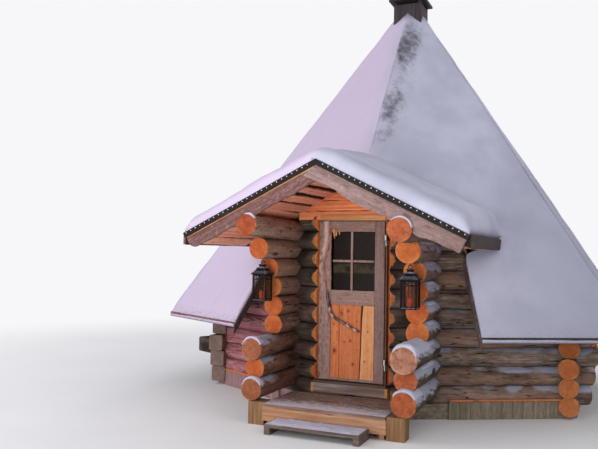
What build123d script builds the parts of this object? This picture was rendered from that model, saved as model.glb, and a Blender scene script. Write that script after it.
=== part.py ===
from build123d import *
import os
from math import cos, radians, sin, sqrt, tan

os.makedirs("parts", exist_ok=True)

# A six-sided log cabin with a steep pyramid roof and a gabled porch at its front corner.
# Lengths are millimetres. Azimuth 0 is the front, towards -Y, and azimuth 90 the right side, towards +X.
# Places are worked out from the middle of the room. Each piece is shifted when it is written, so that the
# origin lies on the ground under the middle of the whole plan.

# Log courses
course = 214
log_r = 115
scribe_gap = 0.3
tail = 250
tail_step = 45

# Room walls and sill
wall_apothem = 2250
sill_height = 180
sill_face = 2330
sill_width = 150
mitre_gap = 1
first_full_log = 146
wall_courses = 9

# Main roof
eave_apothem = 2898
eave_height = 973
roof_pitch = 57.4
roof_thickness = 30
smoke_hole = 150
eave_board_depth = 60
eave_board_thickness = 26
verge_board_depth = 100
verge_board_thickness = 26
verge_top_apothem = 2400

# Smoke hood
hood_width = 400
hood_wall = 24
hood_top = 5430
cap_width = 520
cap_thickness = 30
cap_gap = 45
cap_leg = 45

# Porch wings: logs that run forward from the front walls, listed from the bottom up
wing_x = 830
wing_back = 1900
wing_back_r = 113
wing_reach = [3271, 3191, 3282, 2751, 2766, 2790, 2883, 3151]
right_butt_r = [130, 121, 138, 122, 122, 120, 120, 130]
left_butt_r = [120, 113, 121, 113, 113, 113, 114, 116]
plate_reach = 3614
plate_r = 134
# Front ends of the two plate logs that carry the porch roof: place along X, height and radius
right_plate_end = (866, 2054, 122)
left_plate_end = (-746, 2100, 116)

# Porch roof
porch_ridge = 2754
porch_pitch = 26.2
porch_half = 1514
porch_front = 3550
porch_back = 1000
bargeboard_depth = 200
bargeboard_thickness = 36
bargeboard_round = 90
felt_depth = 55
felt_thickness = 18
porch_eave_board_depth = 120
porch_eave_board_thickness = 26

# Snow on the porch roof
snow_depth = 130
snow_front = 3590
snow_inset = 10
snow_edge_r = 80
snow_front_bevel = 50
snow_crown = 220
snow_dip = 55

# Doorway and its frame
door_plane = 2440
frame_half = 402
frame_width = 62
frame_depth = 140
frame_head = 2150
frame_top = 2200
short_log_end = 260
gable_low = 2300
gable_thickness = 50
head_board_low = 2195
head_board_high = 2255
head_board_thickness = 25

# Door leaf
leaf_half = 389
leaf_low = 387
leaf_high = 2187
leaf_thickness = 38
leaf_gap = 5
window_left = -222
window_right = 268
window_low = 1405
window_high = 2063
panel_left = -236
panel_right = 262
panel_low = 420
panel_high = 1230
panel_joints = [-117, 108]
panel_recess = 4
bar_x = 5
bar_recess = 3
bar_width = 24
bar_thickness = 20
glass_thickness = 4
board_thickness = 22
board_gap = 4
seat_gap = 0.3

# Hinges
hinge_x = 402
hinge_out = 32
knuckle_r = 8
pin_r = 4
hinge_heights = [595, 1971]
knuckle_length = 60
strap_thickness = 6
strap_length = 20

# Branch handle
branch_r = 15
branch_standoff = 34
branch_points = [(-270, 1390), (-232, 1150), (105, 945)]
branch_bend = 60
peg_r = 11
peg_points = [(-263, 1345), (-246, 1175), (80, 960)]

# Floor, threshold and deck
floor_top = 365
floor_thickness = 60
floor_clearance = 5
log_clearance = 12
threshold_half = 450
threshold_low = 250
threshold_high = 350
threshold_depth = 90
drip_half = 430
drip_depth = 80
drip_height = 28
deck_top = 235
plank_thickness = 35
plank_width = 150
plank_gap = 7
deck_planks_count = 5
deck_half = 664
deck_front = 3320
beam_thickness = 50
beam_height = 140
joist_x = 615
post_x = 760
post_width = 180
post_front = 3290
step_half = 500
step_front = 3620
step_depth = 300
step_height = 105
step_leg = 60

# Lanterns
lantern_y = 3050
lantern_log = 7
lantern_stem = 14
stem_r = 4
lantern_width = 190
lantern_plate = 14
lantern_post = 14
lantern_pane_height = 262
lantern_roof_width = 232
lantern_roof_height = 85
lantern_chimney = 62
ring_sink = 4
lantern_chimney_height = 24
ring_r = 24
ring_wire = 5
pane_thickness = 3
candle_r = 34
candle_height = 105

notch_length = 1100
roof_slope = tan(radians(roof_pitch))
porch_slope = tan(radians(porch_pitch))
corner_cos = cos(radians(30))
plan_shift = (step_front - (eave_apothem + eave_board_thickness) / corner_cos) / 2
apex_height = eave_height + eave_apothem * roof_slope
roof_drop = roof_thickness / cos(radians(roof_pitch))
half_side = wall_apothem * tan(radians(30))
crossing_y = (wall_apothem - wing_x * sin(radians(30))) / corner_cos
first_half_log = first_full_log + course / 2
wing_first = first_full_log + course
plate_height = wing_first + len(wing_reach) * course
# The porch slab is as thick as the room between its top face and the plate log that it rests on.
plate_cover = (porch_ridge - porch_slope * wing_x - plate_height) * cos(radians(porch_pitch))
porch_thickness = plate_cover - plate_r - seat_gap
porch_drop = porch_thickness / cos(radians(porch_pitch))
porch_eave = porch_ridge - porch_slope * porch_half
leaf_back = door_plane + leaf_gap
leaf_front = leaf_back + leaf_thickness
right_front, right, right_rear, left_rear, left, left_front = 30, 90, 150, 210, 270, 330
azimuths = [right_front, right, right_rear, left_rear, left, left_front]


def place(azimuth, out, across, height):
    """Point at a distance out along an azimuth, a distance across it, and a height."""
    a = radians(azimuth)
    return (out * sin(a) + across * cos(a), -out * cos(a) + across * sin(a), height)


def log_plane(azimuth, out, across, height):
    """Plane square to a wall's logs, whose normal runs along the wall."""
    a = radians(azimuth)
    return Plane(origin=place(azimuth, out, across, height), x_dir=(0, 0, 1), z_dir=(cos(a), sin(a), 0))


def face_plane(azimuth):
    """Plane across the middle of a side of the hexagon: x runs outwards and y runs up."""
    a = radians(azimuth)
    return Plane(origin=(0, 0, 0), x_dir=(sin(a), -cos(a), 0), z_dir=(-cos(a), -sin(a), 0))


def save(piece, name):
    """Labels a finished piece, shifts it to the plan's middle and writes it."""
    placed = piece.moved(Location((0, plan_shift, 0)))
    placed.label = name
    export_step(placed, f"parts/{name}.step")


def full_heights():
    """Axis heights of the logs in the side walls and the wings' family of courses."""
    return [first_full_log + k * course for k in range(wall_courses)]


def half_heights():
    """Axis heights of the logs in the walls that start half a course higher."""
    return [first_half_log + k * course for k in range(wall_courses - 1)]


def valley_y(x):
    """Where the porch roof's top face meets the main roof's, in plan."""
    side = sin(radians(right_front))
    fall = roof_slope * cos(radians(right_front))
    return -(apex_height - porch_ridge + (porch_slope - roof_slope * side) * x) / fall


def porch_outline(side, reach):
    """Plan of one porch roof slope, from the ridge to the side eave and back to the valley."""
    edge = side * porch_half
    return [(0, -reach), (edge, -reach), (edge, valley_y(porch_half)), (0, valley_y(0))]


def facet_plan(azimuth):
    """Plan of one roof side: a triangle, less the stretch that the porch takes from the two front ones."""
    half = eave_apothem * tan(radians(30))
    corners = [place(azimuth, eave_apothem, end * half, 0)[:2] for end in (-1, 1)]
    if azimuth == right_front:
        side = 1
    elif azimuth == left_front:
        side = -1
    else:
        return [(0, 0), *corners]
    foot = place(azimuth, eave_apothem, 0, 0)[:2]
    verge_top = place(azimuth, verge_top_apothem, 0, 0)[:2]
    outer = place(azimuth, eave_apothem, side * half, 0)[:2]
    return [(0, 0), (0, valley_y(0)), (side * porch_half, valley_y(porch_half)), verge_top, foot, outer]


def facet_solid(azimuth, below, above):
    """Solid over one roof side, from a depth below its top face to a height above it, both upright."""
    reach = eave_apothem + 2
    with BuildPart() as facet:
        with BuildSketch(face_plane(azimuth)):
            with BuildLine():
                low, high, fall = apex_height - below, apex_height + above, reach * roof_slope
                Polyline((0, low), (reach, low - fall), (reach, high - fall), (0, high), close=True)
            make_face()
        extrude(amount=2 * eave_apothem, both=True)
        with BuildSketch(Plane.XY):
            with BuildLine():
                Polyline(*facet_plan(azimuth), close=True)
            make_face()
        extrude(amount=3 * apex_height, mode=Mode.INTERSECT)
    return facet.part


def wall_log(azimuth, height, start, end, notches):
    """One log of a wall, notched over the logs that cross below it."""
    with BuildPart() as log:
        with Locations(log_plane(azimuth, wall_apothem, start, height)):
            Cylinder(log_r, end - start, align=(Align.CENTER, Align.CENTER, Align.MIN))
        cut_notches(notches)
    return log.part


def taper(start_r, end_r, length, mode=Mode.ADD):
    """A round log from its start plane, straight or tapered."""
    lengthwise = (Align.CENTER, Align.CENTER, Align.MIN)
    if start_r == end_r:
        Cylinder(start_r, length, align=lengthwise, mode=mode)
    else:
        Cone(start_r, end_r, length, align=lengthwise, mode=mode)


def cut_notches(notches):
    """Scribes the log that is being made over crossing logs, with the scribing gap left all round."""
    for plane, start_r, end_r, length in notches:
        with Locations(plane):
            taper(start_r + scribe_gap, end_r + scribe_gap, length, Mode.SUBTRACT)


def crossing(azimuth, across, height):
    """Start plane, radii and length of a wall's log about a corner of its wall."""
    return log_plane(azimuth, wall_apothem, across - notch_length / 2, height), log_r, log_r, notch_length


def wing_crossing(side, height):
    """Start plane, radii and length of a wing's log, or of a plain log below the lowest one."""
    k = round((height - wing_first) / course)
    if k >= len(wing_reach):
        x, front_height, front_r = right_plate_end if side > 0 else left_plate_end
        way = (side * wing_x - x, plate_reach - wing_back, plate_height - front_height)
        plane = Plane(origin=(x, -plate_reach, front_height), z_dir=way)
        return plane, front_r, plate_r, sqrt(sum(d * d for d in way))
    reach = wing_length(k)
    plane = Plane(origin=(side * wing_x, -reach, height), z_dir=(0, 1, 0))
    return plane, wing_radius(side, height, reach), wing_radius(side, height, wing_back), reach - wing_back


def wing_length(k):
    """How far in front of the room's middle a wing log reaches: listed, or just past the wall."""
    return wing_reach[k] if k >= 0 else crossing_y + 2 * log_r


def butt_radius(side, k):
    """Radius of a wing log at its front end."""
    return right_butt_r[k] if side > 0 else left_butt_r[k]


def wing_radius(side, height, distance):
    """Radius of the wing log at a height, at a distance in front of the room's middle."""
    k = round((height - wing_first) / course)
    if k < 0:
        return log_r
    front = butt_radius(side, k)
    share = (distance - wing_back) / (wing_reach[k] - wing_back)
    return wing_back_r + (front - wing_back_r) * share


def tail_length(k):
    """How far a log runs past the corner: long and short ends take turns."""
    return tail + tail_step * (k % 3 - 1)


def ring_side(azimuth, inner, outer, start_share=-1, end_share=1):
    """Plan of one straight side of a ring round the hexagon, mitred where it meets the next side."""
    inner_half = inner * tan(radians(30)) - mitre_gap
    outer_half = outer * tan(radians(30)) - mitre_gap
    corners = [(inner, start_share * inner_half), (outer, start_share * outer_half),
               (outer, end_share * outer_half), (inner, end_share * inner_half)]
    return [place(azimuth, out, across, 0)[:2] for out, across in corners]


# Sill: six squared beams under the walls, mitred at the corners
with BuildPart() as sills:
    for azimuth in azimuths:
        with BuildSketch(Plane.XY):
            with BuildLine():
                Polyline(*ring_side(azimuth, sill_face - sill_width, sill_face), close=True)
            make_face()
        extrude(amount=sill_height)
    with Locations((0, -door_plane, 0)):
        Box(2 * sill_face, sill_face, 3 * sill_height, align=(Align.CENTER, Align.MAX, Align.CENTER),
            mode=Mode.SUBTRACT)
save(sills.part, "sill_beams")

# Spaces over the undersides of the roofs, which trim the logs that carry them
roof_spaces = {azimuth: facet_solid(azimuth, roof_drop + scribe_gap, 2 * apex_height) for azimuth in azimuths}
with BuildPart() as porch_space:
    with BuildSketch(Plane.XZ):
        with BuildLine():
            Polyline((0, porch_ridge - porch_drop - scribe_gap),
                     (2 * porch_half, porch_ridge - porch_drop - scribe_gap - 2 * porch_half * porch_slope),
                     (2 * porch_half, apex_height), (-2 * porch_half, apex_height),
                     (-2 * porch_half, porch_ridge - porch_drop - scribe_gap - 2 * porch_half * porch_slope),
                     close=True)
        make_face()
    extrude(amount=porch_front)


def trim_to_room(wall, azimuth):
    """Flattens a wall's lowest log on the sill and cuts its top logs to the roof's underside."""
    with BuildPart() as trimmed:
        add(wall)
        Box(4 * sill_face, 4 * sill_face, sill_height, align=(Align.CENTER, Align.CENTER, Align.MIN),
            mode=Mode.SUBTRACT)
        for turn in (-60, 0, 60):
            add(roof_spaces[(azimuth + turn) % 360], mode=Mode.SUBTRACT)
    return trimmed.part


def side_wall(azimuth):
    """Left or right wall: its logs start at the sill and cross the other walls' logs at both corners."""
    with BuildPart() as wall:
        for k, height in enumerate(full_heights()):
            below = height - course / 2
            notches = [crossing(azimuth - 60, half_side, below), crossing(azimuth + 60, -half_side, below)]
            start, end = -half_side - tail_length(k), half_side + tail_length(k + 1)
            add(wall_log(azimuth, height, start, end, notches))
    return trim_to_room(wall.part, azimuth)


def rear_wall(azimuth):
    """Rear wall: it crosses a side wall at one corner; at the rear corner its logs pass and butt in turn."""
    rear = 1 if azimuth == right_rear else -1
    other = azimuth + 60 * rear
    with BuildPart() as wall:
        for k, height in enumerate(half_heights()):
            passes = (k % 2 == 0) == (rear == 1)
            notches = [crossing(azimuth - 60 * rear, rear * half_side, height - course / 2),
                       crossing(other, -rear * half_side, height - course)]
            if not passes:
                notches.append(crossing(other, -rear * half_side, height))
            near_end = -rear * (half_side + tail_length(k))
            far_end = rear * (half_side + (tail_length(k + 2) if passes else 0))
            add(wall_log(azimuth, height, min(near_end, far_end), max(near_end, far_end), notches))
    return trim_to_room(wall.part, azimuth)


def front_wall(azimuth):
    """Front wall: it crosses a side wall and a porch wing, and stops at the doorway."""
    side = 1 if azimuth == right_front else -1
    heights = half_heights()
    full_courses = len(heights)
    heights += [heights[-1] + course, heights[-1] + 2 * course]
    with BuildPart() as wall:
        for k, height in enumerate(heights):
            below = height - course / 2
            notches = [crossing(azimuth + 60 * side, -side * half_side, below), wing_crossing(side, below)]
            corner_end = side * (half_side + tail_length(k) if k < full_courses else short_log_end)
            door_end = -side * half_side
            add(wall_log(azimuth, height, min(door_end, corner_end), max(door_end, corner_end), notches))
        with Locations((0, -door_plane, 0)):
            Box(4 * wall_apothem, 2 * wall_apothem, 3 * apex_height,
                align=(Align.CENTER, Align.MAX, Align.CENTER), mode=Mode.SUBTRACT)
        with Locations((side * mitre_gap / 2, 0, 0)):
            Box(3 * wall_apothem, 3 * wall_apothem, 2 * apex_height,
                align=(Align.MAX if side > 0 else Align.MIN, Align.CENTER, Align.CENTER), mode=Mode.SUBTRACT)
        with Locations((0, -wall_apothem, floor_top - floor_thickness)):
            Box(2 * (frame_half + seat_gap), 2 * wall_apothem, apex_height,
                align=(Align.CENTER, Align.CENTER, Align.MIN), mode=Mode.SUBTRACT)
        add(porch_space.part, mode=Mode.SUBTRACT)
    return trim_to_room(wall.part, azimuth)


save(side_wall(right), "right_wall")
save(side_wall(left), "left_wall")
save(rear_wall(right_rear), "right_rear_wall")
save(rear_wall(left_rear), "left_rear_wall")
save(front_wall(right_front), "right_front_wall")
save(front_wall(left_front), "left_front_wall")


def wing_log(side, height):
    """One wing log, butt end forward, notched over the front wall's log below it."""
    azimuth = right_front if side > 0 else left_front
    plane, front_r, back_r, length = wing_crossing(side, height)
    with BuildPart() as log:
        with Locations(plane):
            taper(front_r, back_r, length)
        cut_notches([crossing(azimuth, side * (wing_x / corner_cos - half_side), height - course / 2)])
    return log.part


def wing(side):
    """Porch wing: a stack of tapered logs that cross the front wall, and the plate log on top."""
    with BuildPart() as logs:
        for k in range(len(wing_reach) + 1):
            add(wing_log(side, wing_first + k * course))
    return logs.part


save(wing(1), "right_wing")
save(wing(-1), "left_wing")

# Floor, with a tongue that runs through the doorway under the frame
with BuildPart() as floor:
    with BuildSketch(Plane.XY.offset(floor_top - floor_thickness)):
        floor_side = wall_apothem - log_r - scribe_gap
        RegularPolygon(floor_side, 6, major_radius=False, rotation=30)
        with Locations((0, -door_plane)):
            Rectangle(2 * frame_half, door_plane / 2, align=(Align.CENTER, Align.MIN))
        with Locations((0, -door_plane)):
            Rectangle(4 * frame_half, door_plane, align=(Align.CENTER, Align.MAX), mode=Mode.SUBTRACT)
        for side in (-1, 1):
            with Locations((side * wing_x, -wing_back + floor_clearance)):
                Rectangle(2 * (wing_back_r + log_clearance), door_plane, align=(Align.CENTER, Align.MAX),
                          mode=Mode.SUBTRACT)
    extrude(amount=floor_thickness)
save(floor.part, "floor")

# Main roof: six boarded sides that meet at the hips, open at the smoke hole
roof_names = {right_front: "right_front_roof", right: "right_roof", right_rear: "right_rear_roof",
              left_rear: "left_rear_roof", left: "left_roof", left_front: "left_front_roof"}
for azimuth, name in roof_names.items():
    with BuildPart() as roof_side:
        add(facet_solid(azimuth, roof_drop, 0))
        with BuildSketch(Plane.XY):
            RegularPolygon(smoke_hole, 6, major_radius=False, rotation=30)
        extrude(amount=2 * apex_height, mode=Mode.SUBTRACT)
    save(roof_side.part, name)

def porch_eave_board(side):
    """Board on the upright side end of one porch slope, cut to the main roof."""
    with BuildPart() as eave_board:
        with BuildSketch(Plane.XY.offset(porch_eave - porch_eave_board_depth)):
            with Locations((side * (porch_half + porch_eave_board_thickness / 2), -porch_front)):
                Rectangle(porch_eave_board_thickness, porch_front - porch_back,
                          align=(Align.CENTER, Align.MIN))
        extrude(amount=porch_eave_board_depth)
        add(facet_solid(right_front if side > 0 else left_front, apex_height, seat_gap), mode=Mode.SUBTRACT)
    return eave_board.part


# Eave boards, hung on the upright ends of the roof sides and of the porch slopes
with BuildPart() as eave_boards:
    for azimuth in azimuths:
        start_share = 0 if azimuth == right_front else -1
        end_share = 0 if azimuth == left_front else 1
        with BuildSketch(Plane.XY.offset(eave_height - eave_board_depth)):
            with BuildLine():
                Polyline(*ring_side(azimuth, eave_apothem, eave_apothem + eave_board_thickness,
                                    start_share, end_share), close=True)
            make_face()
        extrude(amount=eave_board_depth)
    for side in (1, -1):
        add(porch_eave_board(side))
save(eave_boards.part, "eave_boards")

# Smoke hood: a boarded box over the smoke hole, cut to sit on the roof sides
with BuildPart() as hood:
    with BuildSketch(Plane.XY.offset(hood_top)):
        Rectangle(hood_width, hood_width)
        Rectangle(hood_width - 2 * hood_wall, hood_width - 2 * hood_wall, mode=Mode.SUBTRACT)
    extrude(amount=-hood_width * roof_slope)
    for azimuth in azimuths:
        add(facet_solid(azimuth, apex_height, seat_gap), mode=Mode.SUBTRACT)
save(hood.part, "smoke_hood")


def block(x, y, z):
    """Adds a squared piece between pairs of limits along X, Y and Z."""
    with Locations((sum(x) / 2, sum(y) / 2, sum(z) / 2)):
        Box(x[1] - x[0], y[1] - y[0], z[1] - z[0])


def rectangle(x, z, mode=Mode.ADD):
    """Adds a rectangle to an upright sketch between pairs of limits along X and Z."""
    with Locations((sum(x) / 2, sum(z) / 2)):
        Rectangle(x[1] - x[0], z[1] - z[0], mode=mode)


# Hood cap: a flat lid on four short legs over the hood's corners
with BuildPart() as cap:
    low = hood_top + cap_gap
    block((-cap_width / 2, cap_width / 2), (-cap_width / 2, cap_width / 2), (low, low + cap_thickness))
    with Locations((0, 0, hood_top)):
        with GridLocations(hood_width - cap_leg, hood_width - cap_leg, 2, 2):
            Box(cap_leg, cap_leg, cap_gap, align=(Align.CENTER, Align.CENTER, Align.MIN))
save(cap.part, "hood_cap")

# Verge boards: they close the straight edges of the front roof sides beside the porch
with BuildPart() as verge_boards:
    for azimuth, side in ((right_front, 1), (left_front, -1)):
        verge_end = eave_apothem + eave_board_thickness
        verge_line = [(out, apex_height - out * roof_slope) for out in (verge_top_apothem, verge_end)]
        with BuildSketch(face_plane(azimuth)):
            with BuildLine():
                lower_line = [(out, height - verge_board_depth) for out, height in reversed(verge_line)]
                Polyline(*verge_line, *lower_line, close=True)
            make_face()
        extrude(amount=side * verge_board_thickness)
save(verge_boards.part, "verge_boards")

# Porch roof: two slopes that butt on the main roof along the valleys and rest on the wings' top logs
for side, name in ((1, "right_porch_roof"), (-1, "left_porch_roof")):
    with BuildPart() as slope:
        with BuildSketch(Plane.XZ):
            with BuildLine():
                edge = side * porch_half
                Polyline((0, porch_ridge), (edge, porch_eave), (edge, porch_eave - porch_drop),
                         (0, porch_ridge - porch_drop), close=True)
            make_face()
        extrude(amount=porch_front)
        with BuildSketch(Plane.XY):
            with BuildLine():
                Polyline(*porch_outline(side, porch_front), close=True)
            make_face()
        extrude(amount=apex_height, mode=Mode.INTERSECT)
        add(facet_solid(right_front if side > 0 else left_front, roof_drop, seat_gap), mode=Mode.SUBTRACT)
    save(slope.part, name)


def gable_strip(side, depth, start=0):
    """Outline of a board along one porch verge, square-cut at its lower end."""
    tilt = radians(porch_pitch)
    eave = (side * porch_half, porch_eave)
    foot = (eave[0] - side * depth * sin(tilt), eave[1] - depth * cos(tilt))
    top = porch_ridge - porch_slope * start
    return [(side * start, top), eave, foot, (side * start, top - depth / cos(tilt))]


# Bargeboards: they meet at the gable's top and are notched over the plate logs, which run out past them.
# The left one ends in a round, the right one is cut square.
with BuildPart() as bargeboards:
    for side in (1, -1):
        with BuildSketch(Plane.XZ.offset(porch_front)) as outline:
            with BuildLine():
                Polyline(*gable_strip(side, bargeboard_depth, mitre_gap / 2), close=True)
            make_face()
            if side < 0:
                corner = outline.vertices().sort_by(Axis.Y)[0]
                fillet(corner, bargeboard_round)
        extrude(amount=bargeboard_thickness)
    cut_notches([wing_crossing(side, plate_height) for side in (1, -1)])
save(bargeboards.part, "bargeboards")

# Felt edge: the roofing felt turned down over the bargeboards
with BuildPart() as felt:
    for side in (1, -1):
        with BuildSketch(Plane.XZ.offset(porch_front + bargeboard_thickness)):
            with BuildLine():
                Polyline(*gable_strip(side, felt_depth, mitre_gap / 2), close=True)
            make_face()
        extrude(amount=felt_thickness)
save(felt.part, "porch_felt_edge")

def snow_half(side):
    """Snow on one porch slope, rounded along its eave, bevelled over the gable and cut to the main roof."""
    low = porch_ridge + seat_gap
    edge = porch_half - snow_inset
    eave = low - edge * porch_slope
    middle = side * mitre_gap / 2
    with BuildPart() as snow:
        with BuildSketch(Plane.XZ.offset(snow_front)) as profile:
            with BuildLine():
                Polyline((middle, low), (side * edge, eave), (side * edge, eave + snow_depth),
                         (side * snow_crown, low + snow_depth - snow_crown * porch_slope),
                         (middle, low + snow_depth - snow_dip), close=True)
            make_face()
            outer = profile.vertices().group_by(Axis.X)[-1 if side > 0 else 0].sort_by(Axis.Y)[-1]
            fillet(outer, snow_edge_r)
        extrude(amount=porch_back - snow_front)
        tilt = radians(porch_pitch)
        down = (side * cos(tilt), 0, -sin(tilt))
        with BuildSketch(Plane(origin=(0, -snow_front, low + snow_depth), x_dir=(0, 1, 0), z_dir=down)):
            with BuildLine():
                far = snow_front_bevel + snow_depth
                Polyline((-snow_depth, side * snow_depth), (far, side * snow_depth), (-snow_depth, -side * far),
                         close=True)
            make_face()
        extrude(amount=2 * porch_half, both=True, mode=Mode.SUBTRACT)
        add(facet_solid(right_front if side > 0 else left_front, apex_height, seat_gap), mode=Mode.SUBTRACT)
    return snow.part


# Snow on the porch roof: one blanket on each slope
with BuildPart() as porch_snow:
    for side in (1, -1):
        add(snow_half(side))
save(porch_snow.part, "porch_snow")

# Gable wall over the door, up to the porch roof's underside
with BuildPart() as gable:
    gable_top = porch_ridge - porch_drop - seat_gap
    gable_half = (gable_top - gable_low) / porch_slope
    with BuildSketch(Plane.XZ.offset(door_plane)):
        with BuildLine():
            Polyline((-frame_half, frame_top), (frame_half, frame_top), (frame_half, gable_low),
                     (gable_half, gable_low), (0, gable_top), (-gable_half, gable_low),
                     (-frame_half, gable_low), close=True)
        make_face()
    extrude(amount=-gable_thickness)
save(gable.part, "door_gable")

with BuildPart() as head_board:
    board_y = (-door_plane - head_board_thickness, -door_plane)
    block((-leaf_half, leaf_half), board_y, (head_board_low, head_board_high))
save(head_board.part, "door_head_board")

# Door frame: two jambs on the floor's tongue and a head across them
frame_y = (-door_plane, -door_plane + frame_depth)
with BuildPart() as door_frame:
    for side in (-1, 1):
        inner = side * (frame_half - frame_width)
        block(sorted((inner, side * frame_half)), frame_y, (floor_top, frame_head))
    block((-frame_half, frame_half), frame_y, (frame_head, frame_top))
save(door_frame.part, "door_frame")

with BuildPart() as threshold:
    threshold_y = (-door_plane - threshold_depth, -door_plane)
    block((-threshold_half, threshold_half), threshold_y, (threshold_low, threshold_high))
save(threshold.part, "threshold")
with BuildPart() as drip:
    drip_y = (-door_plane - drip_depth, -door_plane)
    block((-drip_half, drip_half), drip_y, (threshold_high, threshold_high + drip_height))
save(drip.part, "drip_strip")

# Posts under the wings' front ends
with BuildPart() as posts:
    for side in (-1, 1):
        top = wing_first - butt_radius(side, 0) - seat_gap
        x = side * post_x
        block((x - post_width / 2, x + post_width / 2), (-post_front, -post_front + post_width), (0, top))
save(posts.part, "porch_posts")

# Deck: planks on a front beam and two joists
deck_bottom = deck_top - plank_thickness
with BuildPart() as deck_frame:
    beam_half = post_x - post_width / 2 - seat_gap
    beam_back = -deck_front + beam_thickness
    block((-beam_half, beam_half), (-deck_front, beam_back), (deck_bottom - beam_height, deck_bottom))
    for side in (-1, 1):
        x = side * joist_x
        joist_end = -deck_front + deck_planks_count * (plank_width + plank_gap)
        block((x - beam_thickness / 2, x + beam_thickness / 2), (beam_back, joist_end), (0, deck_bottom))
save(deck_frame.part, "deck_frame")
with BuildPart() as planks:
    for k in range(deck_planks_count):
        start = -deck_front + k * (plank_width + plank_gap)
        block((-deck_half, deck_half), (start, start + plank_width), (deck_bottom, deck_top))
save(planks.part, "deck_planks")

with BuildPart() as step:
    step_y = (-step_front, -step_front + step_depth)
    block((-step_half, step_half), step_y, (step_height - plank_thickness, step_height))
    for side in (-1, 1):
        leg = sorted((side * step_half, side * (step_half - step_leg)))
        block(leg, step_y, (0, step_height - plank_thickness))
save(step.part, "front_step")


def lantern_levels(side):
    """Heights of a lantern's parts, from the underside of the log that it hangs from downwards."""
    height = wing_first + lantern_log * course
    hang = height - wing_radius(side, height, lantern_y) - seat_gap
    ring = hang - lantern_stem - ring_r
    chimney = ring - ring_r + ring_sink
    roof_top = chimney - lantern_chimney_height
    roof_low = roof_top - lantern_roof_height
    body_top = roof_low - lantern_plate
    body_low = body_top - lantern_pane_height
    return hang, ring, chimney, roof_top, roof_low, body_top, body_low


# Lanterns: a metal cage with a hipped lid, a ring and a hook, under each wing
for side, name in ((1, "right_lantern"), (-1, "left_lantern")):
    hang, ring, chimney, roof_top, roof_low, body_top, body_low = lantern_levels(side)
    centre = Plane(origin=(side * wing_x, -lantern_y, 0))
    with BuildPart() as lantern:
        with Locations(centre.offset(body_low - lantern_plate), centre.offset(body_top)):
            Box(lantern_width, lantern_width, lantern_plate, align=(Align.CENTER, Align.CENTER, Align.MIN))
        with Locations(centre.offset(body_low)):
            with GridLocations(lantern_width - lantern_post, lantern_width - lantern_post, 2, 2):
                Box(lantern_post, lantern_post, lantern_pane_height,
                    align=(Align.CENTER, Align.CENTER, Align.MIN))
        with BuildSketch(centre.offset(roof_low)):
            Rectangle(lantern_roof_width, lantern_roof_width)
        with BuildSketch(centre.offset(roof_top)):
            Rectangle(lantern_chimney, lantern_chimney)
        loft()
        with Locations(centre.offset(roof_top)):
            Box(lantern_chimney, lantern_chimney, lantern_chimney_height,
                align=(Align.CENTER, Align.CENTER, Align.MIN))
        with Locations(Plane(origin=(side * wing_x, -lantern_y, ring), z_dir=(0, -1, 0))):
            Torus(ring_r, ring_wire / 2)
        with Locations(centre.offset(ring + ring_r)):
            Cylinder(stem_r, lantern_stem, align=(Align.CENTER, Align.CENTER, Align.MIN))
    save(lantern.part, name)

with BuildPart() as panes:
    for side in (-1, 1):
        body_low = lantern_levels(side)[-1]
        pane_width = lantern_width - 2 * lantern_post - 2 * seat_gap
        pane_out = (lantern_width - lantern_post) / 2
        with Locations(Plane(origin=(side * wing_x, -lantern_y, body_low + lantern_pane_height / 2))):
            with PolarLocations(pane_out, 4):
                Box(pane_thickness, pane_width, lantern_pane_height - 2 * seat_gap)
save(panes.part, "lantern_panes")

with BuildPart() as candles:
    for side in (-1, 1):
        with Locations((side * wing_x, -lantern_y, lantern_levels(side)[-1])):
            Cylinder(candle_r, candle_height, align=(Align.CENTER, Align.CENTER, Align.MIN))
save(candles.part, "lantern_candles")

# Door leaf: stiles and rails round a window and a boarded panel
with BuildPart() as leaf:
    with BuildSketch(Plane.XZ.offset(leaf_back)):
        rectangle((-leaf_half, leaf_half), (leaf_low, leaf_high))
        rectangle((window_left, window_right), (window_low, window_high), Mode.SUBTRACT)
        rectangle((panel_left, panel_right), (panel_low, panel_high), Mode.SUBTRACT)
    extrude(amount=leaf_thickness)
save(leaf.part, "door_leaf")

with BuildPart() as boards:
    edges = [panel_left + seat_gap - board_gap / 2, *panel_joints, panel_right - seat_gap + board_gap / 2]
    with BuildSketch(Plane.XZ.offset(leaf_front - panel_recess - board_thickness)):
        heights = (panel_low + seat_gap, panel_high - seat_gap)
        for low, high in zip(edges, edges[1:]):
            rectangle((low + board_gap / 2, high - board_gap / 2), heights)
    extrude(amount=board_thickness)
save(boards.part, "door_boards")

with BuildPart() as bars:
    middle = (window_low + window_high) / 2
    window_x = (window_left + seat_gap, window_right - seat_gap)
    window_z = (window_low + seat_gap, window_high - seat_gap)
    with BuildSketch(Plane.XZ.offset(leaf_front - bar_recess - bar_thickness)):
        rectangle((bar_x - bar_width / 2, bar_x + bar_width / 2), window_z)
        rectangle(window_x, (middle - bar_width / 2, middle + bar_width / 2))
    extrude(amount=bar_thickness)
save(bars.part, "door_window_bars")

with BuildPart() as glass:
    with BuildSketch(Plane.XZ.offset(leaf_front - bar_recess - bar_thickness - seat_gap - glass_thickness)):
        rectangle(window_x, window_z)
    extrude(amount=glass_thickness)
save(glass.part, "door_glass")

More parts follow.
